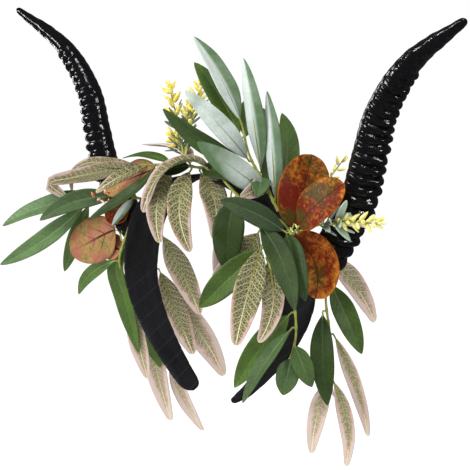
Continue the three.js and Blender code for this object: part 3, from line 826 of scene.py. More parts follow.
def add_node(tree, kind, *values, stops=(), **named):
    """Adds a node and gives its outputs.

    The values go to its sockets in order. A name with a capital is a socket as well, any
    other name is a setting, and stops are those of a colour ramp.
    """
    node = tree.nodes.new(f"ShaderNode{kind}")
    if kind == "Mix":
        node.data_type = "RGBA"
    for key, value in named.items():
        if key[0].islower():
            setattr(node, key, value)
    fill(tree, zip([socket for socket in node.inputs if socket.enabled], values))
    fill(tree, [(node.inputs[key], value) for key, value in named.items() if key[0].isupper()])
    for place, (position, tint) in enumerate(stops):
        ramp = node.color_ramp.elements
        stop = ramp[place] if place < 2 else ramp.new(position)
        stop.position = position
        stop.color = tint
    return node.outputs


def new_finish(name):
    """A named material, and what adds nodes to it."""
    finish = bpy.data.materials.new(name)
    finish.use_nodes = True
    return finish, partial(add_node, finish.node_tree)


def dress(finish, surface):
    """A material whose shader has these values or links."""
    tree = finish.node_tree
    shader = tree.nodes["Principled BSDF"]
    fill(tree, [(shader.inputs[name], value) for name, value in surface.items()])
    return finish


def leaf_map(add, vein_pitch, slant):
    """What every leaf print is drawn from: places on the blade, its midrib and side veins.

    aside is the distance from the midrib in units of the measure map, edge runs from 0 at the
    rim to 1 at the midrib, and vein is 0 on a side vein and 0.5 between two.
    """
    measure = add("UVMap", uv_map="measure")[0]
    share = add("UVMap", uv_map="share")[0]
    own = add("SeparateXYZ", add("Attribute", attribute_name="leaf")["Vector"])
    spot = add("SeparateXYZ", measure)
    blade = add("SeparateXYZ", share)
    noise = {"Vector": measure, "W": own[1], "noise_dimensions": "4D"}
    shifted = add("Math", spot[1], 0.5, operation="SUBTRACT")[0]
    aside = add("Math", shifted, operation="ABSOLUTE")[0]
    centred = add("Math", blade[1], 0.5, operation="SUBTRACT")[0]
    outward = add("Math", centred, operation="ABSOLUTE")[0]
    edge = add("Math", outward, -2.0, 1.0, operation="MULTIPLY_ADD")[0]
    wander = add("TexNoise", **noise, Scale=MEASURE / 6, Detail=1.0)[0]
    leaning = add("Math", aside, -slant, spot[0], operation="MULTIPLY_ADD")[0]
    swayed = add("Math", wander, 0.018, leaning, operation="MULTIPLY_ADD")[0]
    count = add("Math", swayed, MEASURE / vein_pitch, operation="MULTIPLY")[0]
    vein = add("Math", count, 0.5, operation="PINGPONG")[0]
    return SimpleNamespace(measure=measure, noise=noise, tone=own[0], seed=own[1], halves=own[2],
                           along=blade[0], centred=centred, aside=aside, edge=edge, vein=vein)


def printed_willow_cloth(colours):
    # Polyester cloth, dyed green and heat pressed on a veined die. The eye gets a satin face,
    # patchy dye, a light midrib crease and faint slanting side veins 5 mm apart.
    finish, add = new_finish("printed_willow_cloth")
    at = leaf_map(add, 5.0, 1.3)
    cloud = add("TexNoise", **at.noise, Scale=MEASURE / 14, Detail=4.0, Roughness=0.55)[0]
    grain = add("TexNoise", **at.noise, Scale=MEASURE / 1.1, Detail=2.0)[0]
    mixed = add("Math", cloud, 0.7, at.tone, operation="MULTIPLY_ADD")[0]
    mixed = add("Math", mixed, 0.35, operation="SUBTRACT", use_clamp=True)[0]
    dyed = add("Mix", mixed, colours.willow_warm, colours.willow_cool)[2]
    vein = add("MapRange", at.vein, 0.02, 0.16, 1.0, 0.0, interpolation_type="SMOOTHSTEP")[0]
    rib = add("MapRange", at.aside, 0.001, 0.008, 1.0, 0.0, interpolation_type="SMOOTHSTEP")[0]
    patch = add("MapRange", cloud, 0.42, 0.72, 0.0, 0.5)[0]
    shaded = add("Mix", patch, dyed, colours.willow_deep)[2]
    faint = add("Math", vein, 0.2, operation="MULTIPLY")[0]
    veined = add("Mix", faint, shaded, colours.willow_deep)[2]
    fade = add("MapRange", at.along, 0.15, 0.75, 0.4, 0.05)[0]
    light = add("Math", rib, fade, operation="MULTIPLY")[0]
    ribbed = add("Mix", light, veined, colours.willow_pale)[2]
    # The leaf's shade value darkens or lightens the whole print: partly a darker or paler dye,
    # partly painted light and shade for a leaf that lies in shadow or in the light.
    shade = add("Attribute", attribute_name="shade")["Fac"]
    deep = add("MapRange", shade, -1.0, 1.0, 1.65, 0.3)[0]
    speck = add("MapRange", grain, 0.3, 0.7, 0.84, 1.16)[0]
    speck = add("Math", speck, deep, operation="MULTIPLY")[0]
    tinted = add("Mix", 1.0, ribbed, speck, blend_type="MULTIPLY")[2]
    rough = add("MapRange", cloud, 0.3, 0.7, 0.4, 0.56)[0]
    height = add("Math", vein, -0.35, grain, operation="MULTIPLY_ADD")[0]
    height = add("Math", rib, -1.2, height, operation="MULTIPLY_ADD")[0]
    bump = add("Bump", Strength=0.35, Distance=0.5 * MM, Height=height)[0]
    return dress(finish, {"Base Color": tinted, "Roughness": rough, "Normal": bump,
                          "Specular IOR Level": 0.28})


def silver_willow_cloth(colours):
    # The undyed back of the same cloth with thinned green showing through: pale, powdery and
    # matt, with clouds of sage, a darker midrib and hardly any side veins. One half is greyed
    # towards sage as painted shade, the half that the fold turns from the light; the leaf's shade
    # value greys the blade towards its tip, partly a greener tip and partly painted shade.
    finish, add = new_finish("silver_willow_cloth")
    at = leaf_map(add, 5.0, 1.3)
    cloud = add("TexNoise", **at.noise, Scale=MEASURE / 16, Detail=5.0, Roughness=0.6)[0]
    grain = add("TexNoise", **at.noise, Scale=MEASURE / 1.3, Detail=2.0)[0]
    # Painted shade: one half of the back greyed towards sage, the half the fold turns from the
    # light.
    sided = add("Math", at.centred, at.halves, operation="MULTIPLY")[0]
    greyer = add("MapRange", sided, -0.02, 0.2, 0.0, 0.85, interpolation_type="SMOOTHSTEP")[0]
    # Towards the tip the shade value greys the blade further: partly a greener tip, partly painted
    # shade.
    shade = add("Attribute", attribute_name="shade")["Fac"]
    outer = add("MapRange", at.along, 0.35, 0.8, 0.0, 1.0)[0]
    greyer = add("Math", outer, shade, greyer, operation="MULTIPLY_ADD")[0]
    patch = add("MapRange", cloud, 0.38, 0.7, 0.0, 0.8)[0]
    toned = add("Math", patch, at.tone, operation="MULTIPLY")[0]
    whole = add("Math", toned, greyer, operation="ADD", use_clamp=True)[0]
    dyed = add("Mix", whole, colours.silver, colours.sage)[2]
    rib = add("MapRange", at.aside, 0.002, 0.006, 0.7, 0.0, interpolation_type="SMOOTHSTEP")[0]
    fade = add("MapRange", at.along, 0.25, 0.7, 1.0, 0.0)[0]
    rib = add("Math", rib, fade, operation="MULTIPLY")[0]
    ribbed = add("Mix", rib, dyed, colours.willow_cool)[2]
    speck = add("MapRange", grain, 0.3, 0.7, 0.9, 1.06)[0]
    tinted = add("Mix", 1.0, ribbed, speck, blend_type="MULTIPLY")[2]
    vein = add("MapRange", at.vein, 0.02, 0.2, 1.0, 0.0)[0]
    height = add("Math", vein, 0.4, grain, operation="MULTIPLY_ADD")[0]
    bump = add("Bump", Strength=0.3, Distance=0.4 * MM, Height=height)[0]
    return dress(finish, {"Base Color": tinted, "Normal": bump, "Roughness": 0.62,
                          "Specular IOR Level": 0.15})


def netted_print_cloth(colours):
    # Polyester cloth printed with a net of veins: a dark olive field crossed by thin cream lines,
    # with a pink margin that is broad on one half and at the tip. The finest net is about 1 mm
    # wide; it is drawn 1.9 mm wide so that it shows.
    finish, add = new_finish("netted_print_cloth")
    at = leaf_map(add, 4.3, 0.85)
    cloud = add("TexNoise", **at.noise, Scale=MEASURE / 6, Detail=4.0)[0]
    ragged = add("Math", cloud, 0.9, at.edge, operation="MULTIPLY_ADD")[0]
    sided = add("Math", at.centred, at.halves, operation="MULTIPLY")[0]
    ragged = add("Math", sided, 0.65, ragged, operation="MULTIPLY_ADD")[0]
    paler = add("Math", at.tone, -0.6, ragged, operation="MULTIPLY_ADD")[0]
    tip = add("MapRange", at.along, 0.35, 1.0, 0.0, 0.7)[0]
    inside = add("Math", paler, tip, operation="SUBTRACT", use_clamp=True)[0]
    ground = add("ValToRGB", inside, stops=[(0.1, colours.net_pale), (0.58, colours.net_olive),
                 (0.28, colours.net_pink), (0.42, colours.net_brown)])[0]
    faded = add("Math", at.tone, 0.4, operation="MULTIPLY", use_clamp=True)[0]
    ground = add("Mix", faded, ground, colours.net_pale)[2]
    mesh = add("TexVoronoi", Vector=at.measure, Scale=MEASURE / 1.9, voronoi_dimensions="2D",
               feature="DISTANCE_TO_EDGE")["Distance"]
    mesh = add("MapRange", mesh, 0.0, 0.1, 0.72, 0.0)[0]
    vein = add("MapRange", at.vein, 0.015, 0.07, 0.8, 0.0, interpolation_type="SMOOTHSTEP")[0]
    rib = add("MapRange", at.aside, 0.002, 0.005, 1.0, 0.0, interpolation_type="SMOOTHSTEP")[0]
    lines = add("Math", mesh, vein, operation="MAXIMUM")[0]
    kept = add("MapRange", inside, 0.1, 0.5, 0.35, 1.0)[0]
    drawn = add("Math", lines, kept, operation="MULTIPLY")[0]
    inked = add("Mix", drawn, ground, colours.net_cream)[2]
    fading = add("MapRange", at.along, 0.2, 0.8, 0.0, 1.0)[0]
    spine = add("Mix", fading, colours.net_rib, colours.net_cream)[2]
    ribbed = add("Mix", rib, inked, spine)[2]
    # The leaf's shade value darkens the whole print: partly a darker dye, partly painted shade.
    shade = add("Attribute", attribute_name="shade")["Fac"]
    deep = add("MapRange", shade, 0.0, 1.0, 1.0, 0.4)[0]
    tinted = add("Mix", 1.0, ribbed, deep, blend_type="MULTIPLY")[2]
    height = add("Math", lines, 1.0, cloud, operation="MULTIPLY_ADD")[0]
    bump = add("Bump", Strength=0.4, Distance=0.4 * MM, Height=height)[0]
    return dress(finish, {"Base Color": tinted, "Normal": bump, "Roughness": 0.6,
                          "Specular IOR Level": 0.12})


def mottled_copper_cloth(colours):
    # Cloth sprayed in dark olive, red, orange and gold and sealed with a thin gloss: fine clouded
    # colour, lighter towards the tip and rim, with a dark midrib and fine side veins 6 mm apart.
    finish, add = new_finish("mottled_copper_cloth")
    at = leaf_map(add, 6.0, 1.0)
    cloud = add("TexNoise", **at.noise, Scale=MEASURE / 12, Detail=6.0, Roughness=0.68,
                Distortion=0.4)[0]
    fleck = add("TexNoise", **at.noise, Scale=MEASURE / 2.2, Detail=4.0, Roughness=0.65)[0]
    drift = add("Math", at.seed, 7.0, operation="ADD")[0]
    wash = add("TexNoise", **{**at.noise, "W": drift}, Scale=MEASURE / 16, Detail=4.0,
               Roughness=0.6)[0]
    sided = add("Math", at.centred, at.halves, operation="MULTIPLY")[0]
    wash = add("Math", sided, 0.5, wash, operation="MULTIPLY_ADD")[0]
    wash = add("Math", fleck, 0.3, wash, operation="MULTIPLY_ADD")[0]
    olive = add("MapRange", wash, 0.53, 0.73, 1.0, 0.0, interpolation_type="SMOOTHSTEP")[0]
    dyed = add("Mix", olive, colours.copper_red, colours.copper_olive)[2]
    mixed = add("Math", fleck, 0.72, cloud, operation="MULTIPLY_ADD")[0]
    mixed = add("Math", at.along, 0.16, mixed, operation="MULTIPLY_ADD")[0]
    mixed = add("Math", at.edge, -0.08, mixed, operation="MULTIPLY_ADD")[0]
    bright = add("Math", at.tone, 0.4, mixed, operation="MULTIPLY_ADD")[0]
    level = add("MapRange", bright, 0.91, 1.4, 0.0, 1.0)[0]
    gilt = add("Mix", level, colours.copper_orange, colours.copper_gold)[2]
    spread = add("MapRange", level, 0.1, 0.75, 0.0, 1.0)[0]
    sprayed = add("Mix", spread, dyed, gilt)[2]
    vein = add("MapRange", at.vein, 0.01, 0.05, 0.5, 0.0)[0]
    rib = add("MapRange", at.aside, 0.003, 0.006, 0.8, 0.0)[0]
    dark = add("Math", vein, rib, operation="MAXIMUM")[0]
    lined = add("Mix", dark, sprayed, colours.bark)[2]
    rim = add("MapRange", at.edge, 0.01, 0.05, 0.6, 0.0)[0]
    edged = add("Mix", rim, lined, colours.copper_orange)[2]
    rough = add("MapRange", fleck, 0.3, 0.7, 0.34, 0.5)[0]
    height = add("Math", dark, -1.0, fleck, operation="MULTIPLY_ADD")[0]
    bump = add("Bump", Strength=0.35, Distance=0.5 * MM, Height=height)[0]
    return dress(finish, {"Base Color": edged, "Roughness": rough, "Normal": bump,
                          "Specular IOR Level": 0.15})


def peach_copper_cloth(colours):
    # The back of the sprayed cloth, where the colour has soaked through: grainy clouds of moss
    # green, peach and rose, with brown veins that fork from the midrib 11 mm apart and fade out.
    finish, add = new_finish("peach_copper_cloth")
    at = leaf_map(add, 11.0, 1.4)
    cloud = add("TexNoise", **at.noise, Scale=MEASURE / 14, Detail=3.0, Roughness=0.55,
                Distortion=0.3)[0]
    fleck = add("TexNoise", **at.noise, Scale=MEASURE / 1.5, Detail=4.0, Roughness=0.6)[0]
    mixed = add("Math", fleck, 0.35, cloud, operation="MULTIPLY_ADD")[0]
    dyed = add("ValToRGB", mixed, stops=[(0.5, colours.moss), (0.74, colours.rose),
               (0.62, colours.peach), (0.66, colours.peach)])[0]
    vein = add("MapRange", at.vein, 0.02, 0.085, 0.75, 0.0)[0]
    inner = add("MapRange", at.edge, 0.2, 0.8, 0.0, 1.0)[0]
    vein = add("Math", vein, inner, operation="MULTIPLY")[0]
    rib = add("MapRange", at.aside, 0.004, 0.009, 0.95, 0.0)[0]
    fade = add("MapRange", at.along, 0.35, 0.85, 1.0, 0.1)[0]
    dark = add("Math", vein, rib, operation="MAXIMUM")[0]
    dark = add("Math", dark, fade, operation="MULTIPLY")[0]
    lined = add("Mix", dark, dyed, colours.bark)[2]
    speck = add("MapRange", fleck, 0.3, 0.7, 0.56, 1.0)[0]
    grainy = add("Mix", 1.0, lined, speck, blend_type="MULTIPLY")[2]
    height = add("Math", dark, 1.0, mixed, operation="MULTIPLY_ADD")[0]
    bump = add("Bump", Strength=0.4, Distance=0.6 * MM, Height=height)[0]
    return dress(finish, {"Base Color": grainy, "Normal": bump, "Roughness": 0.55,
                          "Specular IOR Level": 0.15})


def moulded_stem_plastic(colours):
    # Soft polyethylene moulded in yellow green: waxy, slightly streaked, with a broad dull shine.
    finish, add = new_finish("moulded_stem_plastic")
    object_place = add("TexCoord")["Object"]
    streak = add("TexNoise", Vector=object_place, Scale=1 / (7 * MM), Detail=3.0)[0]
    tint = add("MapRange", streak, 0.35, 0.68, 0.0, 1.0)[0]
    mixed = add("Mix", tint, colours.fresh, colours.olive)[2]
    bump = add("Bump", Strength=0.2, Distance=0.3 * MM, Height=streak)[0]
    return dress(finish, {"Base Color": mixed, "Normal": bump, "Roughness": 0.42, "IOR": 1.5})


def cast_horn_plastic(colours):
    # Rigid PVC cast from a real horn and left glossy: black with pinpoint glints, fine wrinkles
    # about 2.5 mm apart, and rubbed greyer spots.
    finish, add = new_finish("cast_horn_plastic")
    object_place = add("TexCoord")["Object"]
    wrinkle = add("TexNoise", Vector=object_place, Scale=1 / (2.6 * MM), Detail=3.0,
                  Roughness=0.55)[0]
    dent = add("TexNoise", Vector=object_place, Scale=1 / (8 * MM), Detail=2.0)[0]
    rub = add("MapRange", wrinkle, 0.55, 0.75, 0.0, 1.0)[0]
    mixed = add("Mix", rub, colours.plastic, colours.worn)[2]
    rough = add("MapRange", dent, 0.3, 0.7, 0.07, 0.2)[0]
    height = add("Math", dent, 2.0, wrinkle, operation="MULTIPLY_ADD")[0]
    bump = add("Bump", Strength=0.32, Distance=1 * MM, Height=height)[0]
    return dress(finish, {"Base Color": mixed, "Roughness": rough, "Normal": bump, "IOR": 1.5,
                          "Specular IOR Level": 0.5})


def wrapped_band_cloth(colours):
    # Black polyester ribbon wound round a stiff core: matt, with soft lengthwise creases, a
    # fine grain of threads, and a paler selvedge at each slanting turn on the arms.
    finish, add = new_finish("wrapped_band_cloth")
    measure = add("UVMap", uv_map="measure")[0]
    spot = add("SeparateXYZ", measure)
    reach = add("Math", spot[0], operation="ABSOLUTE")[0]
    slanted = add("Math", spot[1], WRAP_SLANT, reach, operation="MULTIPLY_ADD")[0]
    turns = add("Math", slanted, MEASURE * MM / colours.wrap_pitch, operation="MULTIPLY")[0]
    turn = add("Math", turns, operation="FRACT")[0]
    edge = add("MapRange", turn, 0.9, 0.95, 0.0, 1.0)[0]
    wound = add("MapRange", reach, 0.95, 1.2, 0.0, 1.0)[0]
    edge = add("Math", edge, wound, operation="MULTIPLY")[0]
    thread = add("TexNoise", Vector=add("Mapping", Vector=measure, Scale=(160.0, 60.0, 1.0))[0],
                 Scale=1.0, Detail=2.0)[0]
    crease = add("TexNoise", Vector=add("Mapping", Vector=measure, Scale=(3.0, 14.0, 1.0))[0],
                 Scale=1.0, Detail=4.0)[0]
    worn = add("Math", thread, crease, operation="MULTIPLY")[0]
    tint = add("MapRange", worn, 0.15, 0.45, 0.0, 0.8)[0]
    tint = add("Math", tint, edge, operation="MAXIMUM")[0]
    mixed = add("Mix", tint, colours.cloth, colours.thread)[2]
    height = add("Math", crease, 4.0, thread, operation="MULTIPLY_ADD")[0]
    bump = add("Bump", Strength=0.4, Distance=0.6 * MM, Height=height)[0]
    return dress(finish, {"Base Color": mixed, "Normal": bump, "Roughness": 0.65,
                          "Specular IOR Level": 0.12})


def dipped_bud_plastic(name, body, tip):
    # Soft PVC buds moulded pale and dipped in colour: chalky, brighter where the dip gathers.
    finish, add = new_finish(name)
    object_place = add("TexCoord")["Object"]
    dip = add("TexNoise", Vector=object_place, Scale=1 / (2.2 * MM), Detail=2.0)[0]
    own = add("Attribute", attribute_name="leaf")["Vector"]
    tone = add("SeparateXYZ", own)[0]
    dip = add("Math", tone, 0.12, dip, operation="MULTIPLY_ADD")[0]
    tint = add("MapRange", dip, 0.45, 0.65, 0.0, 1.0)[0]
    mixed = add("Mix", tint, body, tip)[2]
    bump = add("Bump", Strength=0.2, Distance=0.3 * MM, Height=dip)[0]
    return dress(finish, {"Base Color": mixed, "Normal": bump, "Roughness": 0.5})


def flocked_needle_plastic(colours):
    # Narrow leaves moulded in soft PVC and dusted with flock: dull green to sage, flecked by the
    # dust.
    finish, add = new_finish("flocked_needle_plastic")
    own = add("Attribute", attribute_name="leaf")["Vector"]
    tone = add("SeparateXYZ", own)[0]
    object_place = add("TexCoord")["Object"]
    dust = add("TexNoise", Vector=object_place, Scale=1 / (1.8 * MM), Detail=3.0)[0]
    mixed = add("Math", dust, 0.6, tone, operation="MULTIPLY_ADD")[0]
    mixed = add("Math", mixed, 0.3, operation="SUBTRACT", use_clamp=True)[0]
    dyed = add("Mix", mixed, colours.needle_dark, colours.needle_sage)[2]
    bump = add("Bump", Strength=0.25, Distance=0.3 * MM, Height=dust)[0]
    return dress(finish, {"Base Color": dyed, "Normal": bump, "Roughness": 0.7,
                          "Sheen Weight": 0.2})


def matt_floor_paint(paint):
    # Matt white emulsion on a studio floor: no shine, with a hardly seen roller texture.
    finish, add = new_finish("matt_floor_paint")
    object_place = add("TexCoord")["Object"]
    roller = add("TexNoise", Vector=object_place, Scale=1 / (12 * MM), Detail=2.0)[0]
    bump = add("Bump", Strength=0.05, Distance=0.5 * MM, Height=roller)[0]
    return dress(finish, {"Normal": bump, "Base Color": paint, "Roughness": 0.9,
                          "Specular IOR Level": 0.1})


# ---------------------------------------------------------------- operators


class HEADBAND_OT_band(bpy.types.Operator):
    """Model the cloth-bound band: a tube drawn along the arch, with the steps of its wrapping"""

    bl_idname = "headband.band"
    bl_label = "Band"

    def execute(self, context):
        settings = context.scene.headband_band
        crown, tip = settings.crown_width / MM, settings.tip_width / MM
        half = settings.thickness / MM / 2
        pitch, step = settings.wrap_pitch / MM, settings.wrap_step / MM
        round_off = tip / 2 / HALF_BAND.length
        band = model_tube("wrapped_band", *BAND_TUBE)
        spots = []
        for vert in band.data.vertices:
            # The cuts crowd towards the tips, which are rounded off.
            drift = 2 * vert.co.z
            share = 1.5 * drift - 0.5 * drift ** 3
            side, along = (1 if share >= 0 else -1), min(abs(share), 1.0)
            angle = math.atan2(vert.co.y, vert.co.x)
            flat, deep = (math.copysign(abs(way) ** SECTION_POWER, way)
                          for way in (math.cos(angle), math.sin(angle)))
            width = (crown + (tip - crown) * along ** 2) / 2
            if along > 1 - round_off:
                over = (along - 1 + round_off) / round_off
                width *= max(1 - over ** END_POWER, END_LEAST) ** 0.5
            across, reach = width * flat, along * HALF_BAND.length
            wound = clamp((along - WOUND_FROM) / WOUND_OVER)
            turn = ((reach + WRAP_SLANT * across) / pitch) % 1
            lift = step * wound * (turn - 0.5) * abs(deep)
            at, out = band_frame(side, along)
            point = at + out * (deep * (half - step / 2) + (lift if deep > 0 else -lift))
            point.y = across * (1 - DRAWN_IN * wound * (turn > DRAWN_FROM))
            spots.append(Vector((reach * side, across)) / MEASURE)
            vert.co = point * MM
        measure = band.data.uv_layers[0]
        measure.name = "measure"
        for loop in band.data.loops:
            measure.data[loop.index].uv = spots[loop.vertex_index]
        face_outward(band, 60)
        coat(band.data, wrapped_band_cloth(settings))
        settle(band, "band_cloth", "band")
        return {"FINISHED"}


class HEADBAND_OT_horns(bpy.types.Operator):
    """Model the right horn as a tube drawn along its axis with cast rings, and mirror it"""

    bl_idname = "headband.horns"
    bl_label = "Horns"

    def ring_swell(self, along, angle, rings, uneven):
        """How far a ring stands out at a place on the horn."""
        ringed = max(along - RINGS_FROM, 0) / (RINGS_TO - RINGS_FROM)
        count = ringed ** RINGS_CLOSING * rings
        if along < RINGS_FROM or count >= rings:
            return 0.0
        ring = int(count)
        strength, phase, shift = uneven[ring]
        inside = count - ring + shift * math.sin(angle * 2 + phase)
        rising, falling = clamp(inside / RING_RISE), clamp((1 - inside) / RING_FALL)
        swell = rising * rising * (3 - 2 * rising) * falling ** FALL_POWER * strength
        shown = clamp((math.cos(angle) + RING_REACH) / (1 + RING_REACH))
        proud = RING_LEAST + (1 - RING_LEAST) * shown ** RING_POWER
        return swell * (1 + LOBE_HEIGHT * math.sin(LOBES * angle + phase)) * proud

    def unevenness(self, along, angle):
        """The facets and dents of the plain upper part."""
        facet = FACETS * math.cos(5 * angle + 3 * along)
        dent = DENTS * math.sin(along * 95) * math.sin(along * 37 + 2 * angle)
        return (facet * clamp((along - FACETS_FROM) / UPPER_OVER)
                + dent * clamp((along - DENTS_FROM) / UPPER_OVER))

    def execute(self, context):
        settings = context.scene.headband_horns
        base, tip = settings.base_radius / MM, settings.tip_radius / MM
        start = seat_point(HORN_SEAT, GAP)
        _, out = band_frame(1, HORN_SEAT[1])
        axis = smooth_line([start, *HORN_AXIS], finer=60)
        chance = random.Random(RING_SEED)
        uneven = [(chance.uniform(*RING_STRENGTH), chance.uniform(0, WHOLE_TURN),
                   chance.uniform(-RING_SHIFT, RING_SHIFT)) for _ in range(settings.rings + 1)]
        right = model_tube("cast_horn_right", *HORN_TUBE)
        for vert in right.data.vertices:
            along = clamp(vert.co.z + 0.5)
            angle = math.atan2(vert.co.y, vert.co.x)
            run = out if along < Line.NUDGE / 2 else axis.run(along)
            back = (Vector((0, 1, 0)) - run * run.y).normalized()
            outer = back.cross(run)
            swell = self.ring_swell(along, angle, settings.rings, uneven)
            reach = base - (base - tip) * along ** HORN_TAPER
            reach *= 1 + HORN_OVAL * math.cos(2 * angle - math.pi / 2)
            reach *= 1 + self.unevenness(along, angle) + settings.ring_height * (swell - 1 / 3)
            if along > POINT_FROM:
                over = (along - POINT_FROM) / (1 - POINT_FROM)
                reach *= max(1 - over ** 2, POINT_LEAST) ** 0.5
            spoke = outer * (reach * math.cos(angle)) + back * (reach * math.sin(angle))
            vert.co = (axis.at(along) + spoke) * MM
        coat(right.data, cast_horn_plastic(settings))
        left = new_piece("cast_horn_left", right.data.copy())
        left.data.transform(Matrix.Diagonal((-1, 1, 1, 1)))
        for horn, node in ((right, "horn_right"), (left, "horn_left")):
            face_outward(horn, 50)
            settle(horn, "horn_plastic", node)
        return {"FINISHED"}


class HEADBAND_OT_stems(bpy.types.Operator):
    """Model the stems of the sprays as tapered rods with a knuckle where each leaf leaves"""

    bl_idname = "headband.stems"
    bl_label = "Stems"

    def execute(self, context):
        settings = context.scene.headband_stems
        plastic = moulded_stem_plastic(settings)
        radius = settings.radius / MM
        for spray, row in SPRAYS.items():
            line = STEM_LINES[spray]
            steps = max(int(line.length / STEM_STEP), 12)
            points, radii = [], []
            for step in range(steps + 1):
                share = step / steps
                knuckle = max(0.0, *(1 - abs(share - each.at) * line.length / KNUCKLE_REACH
                                     for each in row["leaves"]))
                points.append(line.at(share))
                radii.append(radius * (STEM_FOOT - STEM_TAPER * share) * (1 + KNUCKLE * knuckle))
            stem = model_rod(f"moulded_stem_{spray}", points, radii, plastic, rounding=3)
            settle(stem, "stem_plastic", f"{spray}_stem")
        return {"FINISHED"}


class HEADBAND_OT_willow_leaves(bpy.types.Operator):
    """Press the willow leaves: green faces, silvery backs"""

    bl_idname = "headband.willow_leaves"
    bl_label = "Willow Leaves"

    def execute(self, context):
        colours = context.scene.headband_leaves
        lay_leaves("willow", printed_willow_cloth(colours), silver_willow_cloth(colours),
                   "willow_cloth")
        return {"FINISHED"}


class HEADBAND_OT_netted_leaves(bpy.types.Operator):
    """Press the netted leaves: olive with a cream net and a pink margin"""

    bl_idname = "headband.netted_leaves"
    bl_label = "Netted Leaves"

    def execute(self, context):
        print_cloth = netted_print_cloth(context.scene.headband_leaves)
        lay_leaves("netted", print_cloth, print_cloth, "netted_cloth")
        return {"FINISHED"}


class HEADBAND_OT_copper_leaves(bpy.types.Operator):
    """Press the round copper leaves: mottled faces, peach backs"""

    bl_idname = "headband.copper_leaves"
    bl_label = "Copper Leaves"

    def execute(self, context):
        colours = context.scene.headband_leaves
        lay_leaves("copper", mottled_copper_cloth(colours), peach_copper_cloth(colours),
                   "copper_cloth")
        return {"FINISHED"}


